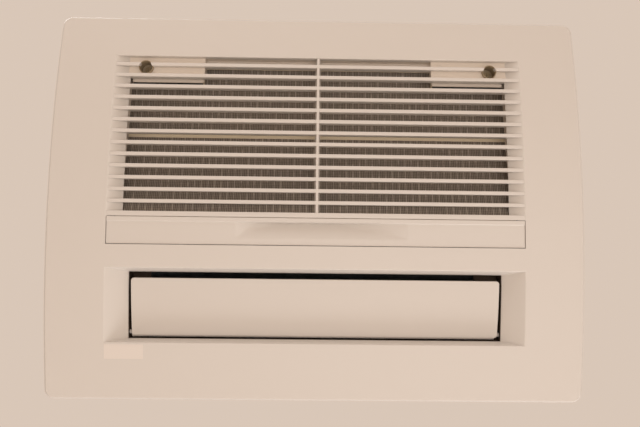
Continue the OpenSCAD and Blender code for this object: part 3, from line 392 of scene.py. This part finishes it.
def finished(name, bm, material, body, nodes=(), sharp=32.0, weighted=True):
    """Turns a bmesh in millimetres into a shown piece in metres that rides a body"""
    bmesh.ops.remove_doubles(bm, verts=bm.verts, dist=0.001)
    bmesh.ops.recalc_face_normals(bm, faces=bm.faces)
    bmesh.ops.scale(bm, vec=(MM, MM, MM), verts=bm.verts)
    for f in bm.faces:
        f.smooth = True
    mesh = bpy.data.meshes.new(name)
    bm.to_mesh(mesh)
    bm.free()
    mesh.set_sharp_from_angle(angle=math.radians(sharp))
    mesh.materials.append(MATERIALS[material])
    obj = bpy.data.objects.new(name, mesh)
    bpy.context.scene.collection.objects.link(obj)
    if weighted:
        even = obj.modifiers.new("even_shading", "WEIGHTED_NORMAL")
        even.keep_sharp = True
        even.weight = 60
    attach(obj, body)
    if nodes:
        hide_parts(*nodes)


def dome_grid(xs, ys, keep, height):
    """A surface in plan at stations xs and ys, its faces looking down, without the cells keep refuses"""
    bm = bmesh.new()
    bmesh.ops.create_grid(bm, x_segments=len(xs) - 1, y_segments=len(ys) - 1, size=1)
    for v in bm.verts:
        x = xs[round((v.co.x + 1) / 2 * (len(xs) - 1))]
        y = ys[round((v.co.y + 1) / 2 * (len(ys) - 1))]
        v.co = (x, y, height(x, y))
    gone = [f for f in bm.faces if not keep(f.calc_center_median())]
    if gone:
        bmesh.ops.delete(bm, geom=gone, context="FACES")
    bmesh.ops.reverse_faces(bm, faces=bm.faces)
    return bm


def grown(bm, edges, place):
    """Extrudes boundary edges and puts each new point where place says"""
    made = bmesh.ops.extrude_edge_only(bm, edges=edges)["geom"]
    for v in [g for g in made if isinstance(g, bmesh.types.BMVert)]:
        v.co = place(v.co)
    return [g for g in made if isinstance(g, bmesh.types.BMEdge)]


def thickened(bm, depth):
    """Gives a surface its wall on the side away from its normals"""
    bmesh.ops.recalc_face_normals(bm, faces=bm.faces)
    low = min(bm.faces, key=lambda f: f.calc_center_median().z)
    if low.normal.z > 0:
        bmesh.ops.reverse_faces(bm, faces=bm.faces)
    bm.normal_update()
    bmesh.ops.solidify(bm, geom=list(bm.faces), thickness=depth)


def joined(bm, part):
    """Adds a finished part to bm"""
    holder = bpy.data.meshes.new("holder")
    part.to_mesh(holder)
    part.free()
    bm.from_mesh(holder)
    bpy.data.meshes.remove(holder)


def near(a, b, slack=0.02):
    """Whether two stations are the same, in millimetres"""
    return abs(a - b) < slack


# ---------- room panel ----------


class HRU_OT_panel(bpy.types.Operator):
    """Builds the domed room panel with its recess, cheeks and screw pockets"""

    bl_idname = "hru.panel"
    bl_label = "Room panel"

    def execute(self, context):
        sizes = context.scene.hru_sizes
        xs = [-PANEL_HALF_X, -278.0, -OPEN_X, -150.0, -50.0, 50.0, 150.0, OPEN_X, 278.0, PANEL_HALF_X]
        ys = [-PANEL_HALF_Y, -203.0, -187.0, OPEN_Y, -148, -126, -104, -82, -60, -38, -14, BAR_Y,
              BAR_Y + 0.5, STRIP_Y0, STRIP_Y0 + 0.5, 33, STRIP_Y1, 61, RECESS_Y0, 90, 106.5, 123, 139.5,
              RECESS_Y1, 172, 188, 204, PANEL_HALF_Y]

        def keep(c):
            grille = abs(c.x) < OPEN_X and OPEN_Y < c.y < STRIP_Y1
            recess = abs(c.x) < OPEN_X and RECESS_Y0 < c.y < RECESS_Y1
            return not (grille or recess)

        bm = dome_grid(xs, ys, keep, lambda x, y: face_z(y))

        def boundary(test):
            return [e for e in bm.edges if e.is_boundary and all(test(v.co) for v in e.verts)]

        def in_recess(c):
            return abs(c.x) < OPEN_X + 0.1 and RECESS_Y0 - 0.1 < c.y < RECESS_Y1 + 0.1

        def in_grille(c):
            return abs(c.x) < OPEN_X + 0.1 and OPEN_Y - 0.1 < c.y < STRIP_Y0 + 0.1

        def to_throat(c):
            y = THROAT_Y0 + (c.y - RECESS_Y0) / (RECESS_Y1 - RECESS_Y0) * (THROAT_Y1 - THROAT_Y0)
            return Vector((c.x * THROAT_X / OPEN_X, y, face_z(y) + RECESS_DEEP))

        def to_cheek(c):
            deep = CHEEK_DEEP if c.y < BAR_Y + 0.2 else CHEEK_DEEP / 2
            x = c.x * (1 - CHEEK_W / OPEN_X * deep / CHEEK_DEEP)
            return Vector((x, c.y, face_z(c.y) + deep))

        outer = boundary(lambda c: near(abs(c.x), PANEL_HALF_X) or near(abs(c.y), PANEL_HALF_Y))
        grown(bm, outer, lambda c: Vector((c.x, c.y, 0)))
        inner = grown(bm, boundary(in_recess), to_throat)
        grown(bm, inner, lambda c: c + Vector((0, 0, 1)))
        grown(bm, boundary(in_grille), to_cheek)

        bm.normal_update()
        corners = [e for e in bm.edges
                   if all(near(abs(v.co.x), PANEL_HALF_X) and near(abs(v.co.y), PANEL_HALF_Y)
                          for v in e.verts)]
        rounded(bm, corners, PANEL_CORNER, 8)
        rim = [e for e in bm.edges if len(e.link_faces) == 2
               and min(abs(f.normal.z) for f in e.link_faces) < 0.3
               and max(abs(f.normal.z) for f in e.link_faces) > 0.9
               and all(abs(v.co.x) > 280 or abs(v.co.y) > 200 for v in e.verts)]
        rounded(bm, rim, sizes.panel_edge / MM, 1)
        recess = [e for e in bm.edges if all(in_recess(v.co) and near(v.co.z, face_z(v.co.y), 0.05)
                                             and (near(abs(v.co.x), OPEN_X) or near(v.co.y, RECESS_Y0)
                                                  or near(v.co.y, RECESS_Y1)) for v in e.verts)]
        rounded(bm, recess, sizes.recess_edge / MM, 3)
        grille = [e for e in bm.edges if len(e.link_faces) == 2
                  and all(in_grille(v.co) and near(v.co.z, face_z(v.co.y), 0.05)
                          and (near(abs(v.co.x), OPEN_X) or near(v.co.y, OPEN_Y)) for v in e.verts)]
        rounded(bm, grille, 1.2, 3)
        throat = [e for e in bm.edges if len(e.link_faces) == 2
                  and all(near(v.co.z, face_z(v.co.y) + RECESS_DEEP, 0.05) for v in e.verts)]
        rounded(bm, throat, 0.7, 2)
        thickened(bm, WALL)
        finished("front_panel_moulding", bm, "abs", "housing", ("front_panel",))

        bm = bmesh.new()
        hole_x, hole_y, hole_r = HOLE
        for side in (-1, 1):
            base = face_z(hole_y)
            spun(bm, [(hole_r - 0.1, 2.6), (hole_r + 0.1, 2.4), (hole_r + 0.4, 2.4), (hole_r + 0.6, 2.6),
                      (hole_r + 0.6, 18), (hole_r - 0.1, 18)],
                 Vector((side * hole_x, hole_y, base)), Vector((0, 0, 1)))
            rod(bm, (side * hole_x, hole_y, base + 17.4), (0, 0, 1), hole_r + 0.3, 1.3)
        # The bosses take the olive-brown plastic, painted shade for the inside of the holes
        finished("screw_pocket_bosses", bm, "abs_shaded", "housing", ())

        bm = bmesh.new()
        for side in (-1, 1):
            corners = [(PLATE_X, OPEN_Y - 1), (PLATE_END_X, OPEN_Y - 1), (PLATE_END_X, PLATE_Y1),
                       (PLATE_X, PLATE_Y1)]
            ring = [bm.verts.new((side * x, y, 0)) for x, y in corners]
            edges = [bm.edges.new((ring[i], ring[(i + 1) % 4])) for i in range(4)]
            hole = bmesh.ops.create_circle(bm, cap_ends=False, segments=40, radius=hole_r + 0.3)["verts"]
            bmesh.ops.translate(bm, vec=(side * hole_x, hole_y, 0), verts=hole)
            edges += list({e for v in hole for e in v.link_edges})
            filled = bmesh.ops.triangle_fill(bm, use_beauty=True, use_dissolve=False, edges=edges)["geom"]
            faces = [g for g in filled if isinstance(g, bmesh.types.BMFace)]
            bmesh.ops.translate(bm, vec=(0, 0, PLATE_T), verts=pushed(bm, faces))
        for v in bm.verts:
            v.co.z += face_z(v.co.y) + PLATE_DEEP
        # The plates take the lightened plastic, painted light for the shade behind the slats
        finished("screw_pocket_plates", bm, "abs_lightened", "housing", (), weighted=False)

        bm = bmesh.new()
        top, sunk = -0.4, PLATE_DEEP + PLATE_T - 0.1
        for side in (-1, 1):
            wall = ((OPEN_Y, face_z(OPEN_Y) + sunk), (PLATE_Y1, face_z(PLATE_Y1) + sunk),
                    (PLATE_Y1, top), (OPEN_Y, top))
            extruded(bm, [(side * PLATE_X, y, z) for y, z in wall], (side * 1.4, 0, 0))
            low = face_z(PLATE_Y1) + LEDGE_DEEP
            ends = [(side * (PLATE_X + 1.5), PLATE_Y1 + 0.2, low), (side * LEDGE_X, PLATE_Y1 + 0.2, low),
                    (side * LEDGE_X, LEDGE_Y1, low - 0.6), (side * (PLATE_X + 1.5), LEDGE_Y1, low - 0.6)]
            extruded(bm, ends, (0, 0, 1.6))
            tip = [e for v in bm.verts for e in v.link_edges
                   if near(abs(v.co.x), PLATE_X + 1.5) and near(v.co.y, LEDGE_Y1)
                   and near(e.verts[0].co.y, e.verts[1].co.y) and near(e.verts[0].co.x, e.verts[1].co.x)]
            rounded(bm, list(set(tip)), 2.0, 4)
        extruded(bm, [(x, OPEN_Y, face_z(OPEN_Y) + CHEEK_DEEP - 0.5) for x in (-OPEN_X + 12, OPEN_X - 12)]
                 + [(x, OPEN_Y, top) for x in (OPEN_X - 14, -OPEN_X + 14)], (0, -2.2, 0))
        extruded(bm, [(x, OPEN_Y, -2.0) for x in (-OPEN_X + 14, OPEN_X - 14)]
                 + [(x, OPEN_Y, -0.5) for x in (OPEN_X - 14, -OPEN_X + 14)], (0, 4.2, 0))
        finished("intake_back_wall", bm, "abs_lightened", "housing", (), weighted=False)
        return {"FINISHED"}


# ---------- intake grille ----------


def slat(bm, y0, y1, outline, edge, x_at=None):
    """A bar across the grille: outline is (x, depth) points, its front follows the dome"""
    part = bmesh.new()
    extruded(part, [(x, y0, d) for x, d in outline], (0, y1 - y0, 0))
    bmesh.ops.recalc_face_normals(part, faces=part.faces)
    if x_at:
        for v in part.verts:
            v.co.x = x_at(v.co)
    middle = (y0 + y1) / 2
    for v in part.verts:
        if v.co.z > 3:
            v.co.y += 0.5 if v.co.y < middle else -0.5
    rounded(part, [e for e in part.edges if all(v.co.z < 0.01 for v in e.verts)
                   and abs(e.verts[0].co.x - e.verts[1].co.x) > 1], edge, 3)
    for v in part.verts:
        v.co.z += face_z(v.co.y)
    joined(bm, part)


class HRU_OT_grille(bpy.types.Operator):
    """Builds the intake slats, their centre rib and the closing bar"""

    bl_idname = "hru.grille"
    bl_label = "Intake grille"

    def execute(self, context):
        edge = context.scene.hru_sizes.slat_edge / MM
        bm = bmesh.new()
        end, deep_x = OPEN_X - 0.6, OPEN_X - CHEEK_W - 0.4
        hole_x, hole_y, hole_r = HOLE
        for i in range(SLAT_COUNT):
            y0 = SLAT_Y + i * SLAT_STEP
            if i:
                slat(bm, y0, y0 + SLAT_T, [(-end, 0), (end, 0), (deep_x, CHEEK_DEEP), (deep_x, SLAT_DEEP),
                                           (-deep_x, SLAT_DEEP), (-deep_x, CHEEK_DEEP)], edge)
                continue

            def cut(y):
                return math.sqrt(hole_r**2 - (y - hole_y) ** 2)

            def shorten(c):
                return math.copysign(hole_x - cut(c.y), c.x) if abs(c.x) > hole_x - 8 else c.x

            p = PLATE_X - 0.3
            slat(bm, y0, y0 + SLAT_T,
                 [(-hole_x, 0), (hole_x, 0), (hole_x, PLATE_DEEP), (p, PLATE_DEEP), (p, SLAT_DEEP),
                  (-p, SLAT_DEEP), (-p, PLATE_DEEP), (-hole_x, PLATE_DEEP)], edge, shorten)
            for side in (-1, 1):
                def begin(c, side=side):
                    return side * (hole_x + cut(c.y)) if abs(c.x) < hole_x + 1 else c.x

                slat(bm, y0, y0 + SLAT_T,
                     [(side * hole_x, 0), (side * end, 0), (side * (end - 14), PLATE_DEEP),
                      (side * hole_x, PLATE_DEEP)], edge, begin)
        slat(bm, BAR_Y, STRIP_Y0, [(-end, 0), (end, 0), (end - 11, 5.8), (11 - end, 5.8)], edge)
        rib = bmesh.new()
        grid = bmesh.ops.create_grid(rib, x_segments=1, y_segments=24, size=0.5)["verts"]
        for v in grid:
            v.co = (v.co.x * 2.6, OPEN_Y + 0.2 + (v.co.y + 0.5) * (BAR_Y + 0.5 - OPEN_Y), 0)
        for v in pushed(rib, list(rib.faces)):
            v.co = (v.co.x * 2.4, v.co.y, RIB_DEEP)
        rounded(rib, [e for e in rib.edges if all(v.co.z < 0.01 for v in e.verts)
                      and near(e.verts[0].co.x, e.verts[1].co.x) and len(e.link_faces) == 2
                      and abs(e.verts[0].co.x) > 1], edge / 2, 2)
        for v in rib.verts:
            v.co.z += face_z(v.co.y) + 0.3
        joined(bm, rib)
        finished("intake_slats", bm, "abs", "housing", ("intake_grille",))
        return {"FINISHED"}


# ---------- filter ----------


def frame_bar(bm, x0, x1, y0, y1, steps):
    """A flat bar of the filter frame on the filter's arc"""
    grid = bmesh.ops.create_grid(bm, x_segments=1, y_segments=steps, size=0.5)["verts"]
    for v in grid:
        v.co = (x0 + (v.co.x + 0.5) * (x1 - x0), y0 + (v.co.y + 0.5) * (y1 - y0), FRAME_LIFT)
    faces = list({f for v in grid for f in v.link_faces})
    bmesh.ops.translate(bm, vec=(0, 0, FRAME_T - FRAME_LIFT), verts=pushed(bm, faces))
    edges = [e for e in {e for v in grid for e in v.link_edges}
             if e.is_manifold and e.calc_face_angle(0) > 1 and all(near(v.co.z, FRAME_LIFT) for v in e.verts)]
    rounded(bm, edges, 0.5, 2)


class HRU_OT_filter(bpy.types.Operator):
    """Builds the pull-out filter: frame, woven net and the pull strip with its finger scoop"""

    bl_idname = "hru.filter"
    bl_label = "Filter"

    def execute(self, context):
        sizes = context.scene.hru_sizes
        bm = bmesh.new()
        notch_x, notch_y = PLATE_X + 6, PLATE_Y1 + 3.2
        frame_bar(bm, -notch_x, notch_x, FRAME_Y0, FRAME_Y0 + 1.6, 1)
        frame_bar(bm, -FRAME_X, FRAME_X, FRAME_Y1 - 8, FRAME_Y1, 2)
        frame_bar(bm, -1.5, 1.5, FRAME_Y0, FRAME_Y1, 20)
        rib_y = SLAT_Y + 6 * SLAT_STEP + 1.8
        frame_bar(bm, -FRAME_X, FRAME_X, rib_y - 2.6, rib_y + 1.5, 1)
        for side in (-1, 1):
            for x0, x1, y0, y1, steps in (
                    (FRAME_X - 1.6, FRAME_X, notch_y, FRAME_Y1, 18),
                    (notch_x, FRAME_X, notch_y, notch_y + 4, 1),
                    (notch_x - 2, notch_x, FRAME_Y0, notch_y + 4, 3)):
                low, high = sorted((side * x0, side * x1))
                frame_bar(bm, low, high, y0, y1, steps)
        for v in bm.verts:
            v.co.z += filter_z(v.co.y)
        finished("filter_frame_moulding", bm, "filter_abs_lightened", "filter", ("filter_frame",))

        xs = [-FRAME_X + 1, -notch_x + 1, notch_x - 1, FRAME_X - 1]
        rows, net_y0, net_y1 = 12, notch_y + 2, FRAME_Y1 - 2
        ys = [FRAME_Y0 + 0.8] + [net_y0 + (net_y1 - net_y0) * i / rows for i in range(rows + 1)]
        bm = dome_grid(xs, ys, lambda c: abs(c.x) < notch_x or c.y > notch_y,
                       lambda x, y: filter_z(y) + NET_LIFT)
        thickened(bm, NET_T)
        finished("filter_net_sheet", bm, "net", "filter", ("filter_mesh",), weighted=False)

        half = OPEN_X - 0.45
        y0, y1 = STRIP_Y0 + 0.4, STRIP_Y1 - 0.6
        lip, deep, foot, field = 5.0, sizes.scoop_deep / MM, 7.4, 0.9
        scoop_x, reach, left_slope, right_slope = 6.0, 96.0, 0.24, 0.13
        fine_x, n, m = 110, 110, 20
        xs = [-half, -half + 1.2, -170.0] + [-fine_x + 2 * fine_x * i / n for i in range(n + 1)]
        xs += [170.0, half - 1.2, half]
        ys = [y0, y0 + 0.9, y0 + lip - 0.8, y0 + lip - 0.5, y0 + lip - 0.2,
              y0 + lip + 0.1, y0 + lip + 0.4]
        ys += [ys[-1] + (y1 - 1.0 - ys[-1]) * i / m for i in range(1, m + 1)] + [y1]

        def strip_z(x, y):
            """The face with its raised lip, the low field beyond it and the finger scoop"""
            past_lip = min(1.0, max(0.0, (y - y0 - lip + 0.8) / 1.2)) ** 1.5
            slope = max(0.0, (y1 - foot - y) / (y1 - foot - y0 - lip))
            ends = max(0.0, (left_slope if x < 0 else right_slope) * (reach - abs(x - scoop_x)))
            a, b = deep * slope, ends
            soft = math.sqrt(a * a + b * b)
            hollow = a * b / soft * 1.18 if soft > 0.01 else 0.0
            return face_z(y) + past_lip * (field + min(hollow, a, b))

        bm = dome_grid(xs, ys, lambda c: True, strip_z)
        grown(bm, [e for e in bm.edges if e.is_boundary], lambda c: c + Vector((0, 0, 1.6)))
        bm.normal_update()
        rim = [e for e in bm.edges if len(e.link_faces) == 2
               and min(abs(f.normal.z) for f in e.link_faces) < 0.3
               and max(abs(f.normal.z) for f in e.link_faces) > 0.8
               and all(near(abs(v.co.x), half) or near(v.co.y, y0) or near(v.co.y, y1) for v in e.verts)]
        rounded(bm, rim, 0.45, 2)
        thickened(bm, 1.0)
        finished("filter_pull_strip", bm, "abs", "filter", ("filter_handle",), sharp=50)
        return {"FINISHED"}


# ---------- outlet ----------


class HRU_OT_outlet(bpy.types.Operator):
    """Builds the curved outlet flap with its rounded corners, ears and pins"""

    bl_idname = "hru.outlet"
    bl_label = "Outlet flap"

    def execute(self, context):
        sizes = context.scene.hru_sizes
        mid = Vector(((FLAP_Y0 + FLAP_Y1) / 2, (FLAP_Z0 + FLAP_Z1) / 2))
        chord = math.hypot(FLAP_Y1 - FLAP_Y0, FLAP_Z1 - FLAP_Z0)
        tilt = math.atan2(FLAP_Z1 - FLAP_Z0, FLAP_Y1 - FLAP_Y0)
        rise = math.sqrt(FLAP_ARC**2 - chord * chord / 4)

        def on_arc(t, r):
            """A point at share t along the chord, on the arc of radius r"""
            u = (t - 0.5) * chord
            w = rise - math.sqrt(r * r - u * u)
            c, s = math.cos(tilt), math.sin(tilt)
            return mid.x + u * c - w * s, mid.y + u * s + w * c

        steps, inset = 16, FLAP_CORNER + 0.2
        xs = [-FLAP_X, -FLAP_X + inset, -80.0, 80.0, FLAP_X - inset, FLAP_X]
        ts = [0.0, inset / chord] + [i / steps for i in range(1, steps)] + [1 - inset / chord, 1.0]
        ts = sorted(set(round(t, 5) for t in ts if t in (0.0, 1.0) or 0.05 < t < 0.95))
        bm = bmesh.new()
        bmesh.ops.create_grid(bm, x_segments=len(xs) - 1, y_segments=len(ts) - 1, size=1)
        for v in bm.verts:
            i = round((v.co.x + 1) / 2 * (len(xs) - 1))
            j = round((v.co.y + 1) / 2 * (len(ts) - 1))
            y, z = on_arc(ts[j], FLAP_ARC)
            v.co = (xs[i], y, z)
        corners = [v for v in bm.verts if len(v.link_edges) == 2]
        bmesh.ops.bevel(bm, geom=corners, offset=FLAP_CORNER, offset_type="OFFSET", segments=6,
                        profile=0.5, affect="VERTICES", material=-1)
        bmesh.ops.reverse_faces(bm, faces=bm.faces)
        thickened(bm, FLAP_T)
        bm.normal_update()
        front = [e for e in bm.edges if len(e.link_faces) == 2 and e.calc_face_angle(0) > 1.0
                 and max(-f.normal.z for f in e.link_faces) > 0.8]
        rounded(bm, front, sizes.flap_edge / MM, 3)
        py, pz = PIVOT
        roll = [(r, math.radians(a)) for r, turns in (
            (ROLL_R, range(-58, 17, 9)), (ROLL_R - ROLL_T, range(14, -60, -9))) for a in turns]
        extruded(bm, [(-FLAP_X + 3, py + r * math.cos(a), pz + r * math.sin(a)) for r, a in roll],
                 (2 * FLAP_X - 6, 0, 0))
        rod(bm, (9 - FLAP_X, py, pz), (-1, 0, 0), ROLL_R, 9)
        ear = ((py - 4, pz + 1), (py - 1, pz + 3.4), (py + 2.6, pz + 2.6), (py + 3.8, pz),
               (py + 2.4, FLAP_Z1 + 0.9), on_arc(0.32, FLAP_ARC - FLAP_T - 0.05))
        for side in (-1, 1):
            extruded(bm, [(side * (FLAP_X - 2.4), y, z) for y, z in ear], (side * 2.2, 0, 0))
            rod(bm, (side * (FLAP_X - 0.5), py, pz), (side, 0, 0), PIN_R, 12.5)
        finished("outlet_flap_moulding", bm, "abs", "flap", ("outlet_flap",))
        return {"FINISHED"}


# ---------- label ----------


class HRU_OT_label(bpy.types.Operator):
    """Lays a bare adhesive label below the recess"""

    bl_idname = "hru.label"
    bl_label = "Label"

    def execute(self, context):
        low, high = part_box("blank_label")
        x0, x1, y0, y1 = low.x / MM, high.x / MM, low.y / MM, high.y / MM
        bm = dome_grid([x0, x1], [y0, (y0 + y1) / 2, y1], lambda c: True,
                       lambda x, y: face_z(y) - 0.14)
        thickened(bm, 0.12)
        finished("label_film_blank", bm, "film", "housing", ("blank_label",),
                 weighted=False)
        return {"FINISHED"}


# ---------- casing ----------


class HRU_OT_casing(bpy.types.Operator):
    """Adds the folded seams and the rivets of the sheet metal casing"""

    bl_idname = "hru.casing"
    bl_label = "Casing seams"

    def execute(self, context):
        low, high = (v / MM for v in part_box("casing_top"))
        x1, y1, top = high.x, high.y, high.z
        seams, rivets, fold, lap, lift = bmesh.new(), bmesh.new(), 0.8, 16.0, 6.0

        def rivet(at, axis):
            rod(rivets, at, axis, 2.4, 0.9, 16, 1.3)

        for side in (-1, 1):
            y = side * y1
            extruded(seams, [(-x1 + 1, y, top - 0.4), (x1 - 1, y, top - 0.4), (x1 - 3, y, top - lap),
                             (-x1 + 3, y, top - lap)], (0, side * fold, 0))
            extruded(seams, [(-x1 + 1, y, lift), (x1 - 1, y, lift), (x1 - 1, y, lift + 12),
                             (-x1 + 1, y, lift + 12)], (0, side * fold, 0))
            for end in (-1, 1):
                a, b = sorted((end * (x1 - 1), end * (x1 - 15)))
                extruded(seams, [(a, y, lift + 13), (b, y, lift + 13), (b, y, top - lap - 1),
                                 (a, y, top - lap - 1)], (0, side * fold, 0))
                for z in (45, 85, 125, 165, 200):
                    rivet((end * (x1 - 8), y + side * fold, z), (0, side, 0))
            for x in range(-240, 241, 80):
                rivet((x, y + side * fold, top - 8), (0, side, 0))
                rivet((x + 18, y + side * fold, lift + 6), (0, side, 0))
        x = -x1
        extruded(seams, [(x, 1 - y1, top - 0.4), (x, y1 - 1, top - 0.4), (x, y1 - 3, top - lap),
                         (x, 3 - y1, top - lap)], (-fold, 0, 0))
        for y in range(-160, 161, 64):
            rivet((x - fold, y, top - 8), (-1, 0, 0))
        rounded(seams, list(seams.edges), 0.25, 1)
        finished("casing_seams", seams, "zinc", "housing", ())
        finished("casing_rivets", rivets, "steel", "housing", ())
        return {"FINISHED"}


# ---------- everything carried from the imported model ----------

CARRIED = {
    "zinc": ("casing_top", "casing_side_walls", "casing_end_ducts",
             "casing_end_wiring", "end_bulkhead", "compartment_floor", "return_partition",
             "exhaust_partition", "bottom_divider", "top_core_rail", "control_box",
             "control_box_lid", "scroll_guide", "scroll_tongue", "scroll_end_plate", "exhaust_scroll"),
    "steel": ("hanger_brackets", "panel_tabs", "hanger_screws", "supply_motor_screws", "spigot_screws",
              "control_lid_screws"),
    # The panel screws are drawn olive-brown as painted shade at the bottom of their holes
    "screw_shaded": ("panel_screws",),
    # The chute is drawn dark as painted shade for the deep throat behind the flap
    "duct": ("outlet_chute",),
    "shaft": ("supply_shaft", "exhaust_shaft", "outdoor_shutter_pin", "exhaust_shutter_pin"),
    "aluminium": ("outdoor_shutter_left", "outdoor_shutter_right", "exhaust_shutter_left",
                  "exhaust_shutter_right"),
    "motor": ("supply_fan_motor", "exhaust_fan_motor", "flap_motor"),
    "paper": ("core_blocks",),
    "pleats": ("outdoor_filter",),
    "foam": ("core_seals", "core_end_pads", "ceiling_gasket", "divider_seal"),
    "white_foam": ("outdoor_plenum_liner",),
    "white": ("outdoor_spigot", "exhaust_spigot", "room_sensor", "terminal_block"),
    "impeller": ("supply_impeller", "exhaust_impeller"),
    "rubber": ("fan_bearing",),
    "board": ("control_board",),
    # flap_bush is drawn black as painted shade in the flap's side gaps, where it would otherwise show a light
    # dot
    "black": ("cable_gland", "flap_bush"),
    # The rails take the lightened plastic, painted light for the shade deep behind the grille
    "abs_lightened": ("filter_rails",),
}


class HRU_OT_carried(bpy.types.Operator):
    """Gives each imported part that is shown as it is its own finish"""

    bl_idname = "hru.carried"
    bl_label = "Casing and works"

    def execute(self, context):
        nodes = frame["nodes"]
        dressed = set()
        for material, names in CARRIED.items():
            for name in names:
                obj = nodes[name]
                obj.data.materials.clear()
                obj.data.materials.append(MATERIALS[material])
                dressed.add(name)
        stood_for = {n for n, o in nodes.items() if o.hide_render}
        bare = set(nodes) - dressed - stood_for
        if bare:
            raise RuntimeError(f"these parts have no finish: {sorted(bare)}")
        return {"FINISHED"}


# ---------- stage ----------

CAMERA_AT = (-0.00616, 0.07859, -0.71913)
CAMERA_RIGHT = (0.99982573, -0.01080772, -0.0152221)
CAMERA_DOWN = (0.01222366, 0.99528443, 0.09622622)
CAMERA_LOOK = (0.01411034, -0.09639552, 0.99524309)
LENS_MM = 34.99
SENSOR_MM = 36.0
FLOOR_DROP = 2.3
ROOM_AIR = ("F1DDCC", 0.79)
# Each lamp: name, place and aim in metres, width, watts, sRGB colour
LAMPS = (
    ("window_light", (2.2, 4.5, -0.95), (0, 0, -0.02), 2.6, 104.0, "FAF8F8"),
    ("room_fill", (0.4, 0.4, -2.1), (0, 0, 0), 2.2, 14.0, "FAF6F4"),
    ("far_fill", (-1.2, -4.6, -1.0), (0, 0, 0), 3.0, 74.0, "FAF8F8"),
    ("top_light", (-1.2, -1.4, 2.0), (0, 0, 0.1), 1.6, 40.0, "FFFFFF"),
)


class HRU_OT_stage(bpy.types.Operator):
    """Sets a pale floor, soft lights and the camera below the panel"""

    bl_idname = "hru.stage"
    bl_label = "Stage"

    def execute(self, context):
        scene = context.scene
        paint, _, _ = new_material(
            "matt_floor_paint", {"Base Color": linear(scene.hru_colours.floor), "Roughness": 0.9})
        bm = bmesh.new()
        bmesh.ops.create_grid(bm, x_segments=1, y_segments=1, size=14)
        bmesh.ops.translate(bm, vec=(0, 0, -FLOOR_DROP), verts=bm.verts)
        mesh = bpy.data.meshes.new("floor")
        bm.to_mesh(mesh)
        bm.free()
        mesh.materials.append(paint)
        floor = bpy.data.objects.new("floor", mesh)
        scene.collection.objects.link(floor)

        world = bpy.data.worlds.new("soft_room")
        world.use_nodes = True
        scene.world = world
        air = world.node_tree.nodes["Background"]
        air.inputs["Color"].default_value = linear(ROOM_AIR[0])
        air.inputs["Strength"].default_value = ROOM_AIR[1]

        for name, at, aim, size, power, code in LAMPS:
            lamp = bpy.data.lights.new(name, "AREA")
            lamp.shape = "DISK"
            lamp.size = size
            lamp.energy = power
            lamp.color = linear(code)[:3]
            obj = bpy.data.objects.new(name, lamp)
            obj.location = at
            obj.rotation_euler = (Vector(aim) - Vector(at)).to_track_quat("-Z", "Y").to_euler()
            scene.collection.objects.link(obj)

        lens = bpy.data.cameras.new("camera")
        lens.lens = LENS_MM
        lens.sensor_width = SENSOR_MM
        lens.clip_start = 0.01
        lens.clip_end = 100.0
        eye = bpy.data.objects.new("camera", lens)
        right, down, look = Vector(CAMERA_RIGHT), Vector(CAMERA_DOWN), Vector(CAMERA_LOOK)
        turn = Matrix((right, -down, -look)).transposed().to_4x4()
        eye.matrix_world = Matrix.Translation(CAMERA_AT) @ turn
        scene.collection.objects.link(eye)
        scene.camera = eye
        scene.view_settings.view_transform = "Standard"
        return {"FINISHED"}


class HRU_PT_unit(bpy.types.Panel):
    """Lists the unit's sizes, colours and builders"""

    bl_idname = "HRU_PT_unit"
    bl_label = "Heat recovery unit"
    bl_space_type = "VIEW_3D"
    bl_region_type = "UI"
    bl_category = "Heat Recovery"

    def draw(self, context):
        layout = self.layout
        for group in (context.scene.hru_sizes, context.scene.hru_colours):
            for key in group.__annotations__:
                layout.prop(group, key)
        for operator in OPERATORS:
            layout.operator(operator.bl_idname)


OPERATORS = (HRU_OT_panel, HRU_OT_grille, HRU_OT_filter, HRU_OT_outlet, HRU_OT_label,
             HRU_OT_casing, HRU_OT_carried, HRU_OT_stage)
CLASSES = (HRU_Sizes, HRU_Colours) + OPERATORS + (HRU_PT_unit,)


def register():
    for cls in CLASSES:
        bpy.utils.register_class(cls)
    bpy.types.Scene.hru_sizes = bpy.props.PointerProperty(type=HRU_Sizes)
    bpy.types.Scene.hru_colours = bpy.props.PointerProperty(type=HRU_Colours)


def unregister():
    del bpy.types.Scene.hru_colours
    del bpy.types.Scene.hru_sizes
    for cls in reversed(CLASSES):
        bpy.utils.unregister_class(cls)


def main():
    register()
    make_materials()
    bpy.ops.hru.panel()
    bpy.ops.hru.grille()
    bpy.ops.hru.filter()
    bpy.ops.hru.outlet()
    bpy.ops.hru.label()
    bpy.ops.hru.casing()
    bpy.ops.hru.carried()
    bpy.ops.hru.stage()


if __name__ == "__main__":
    main()
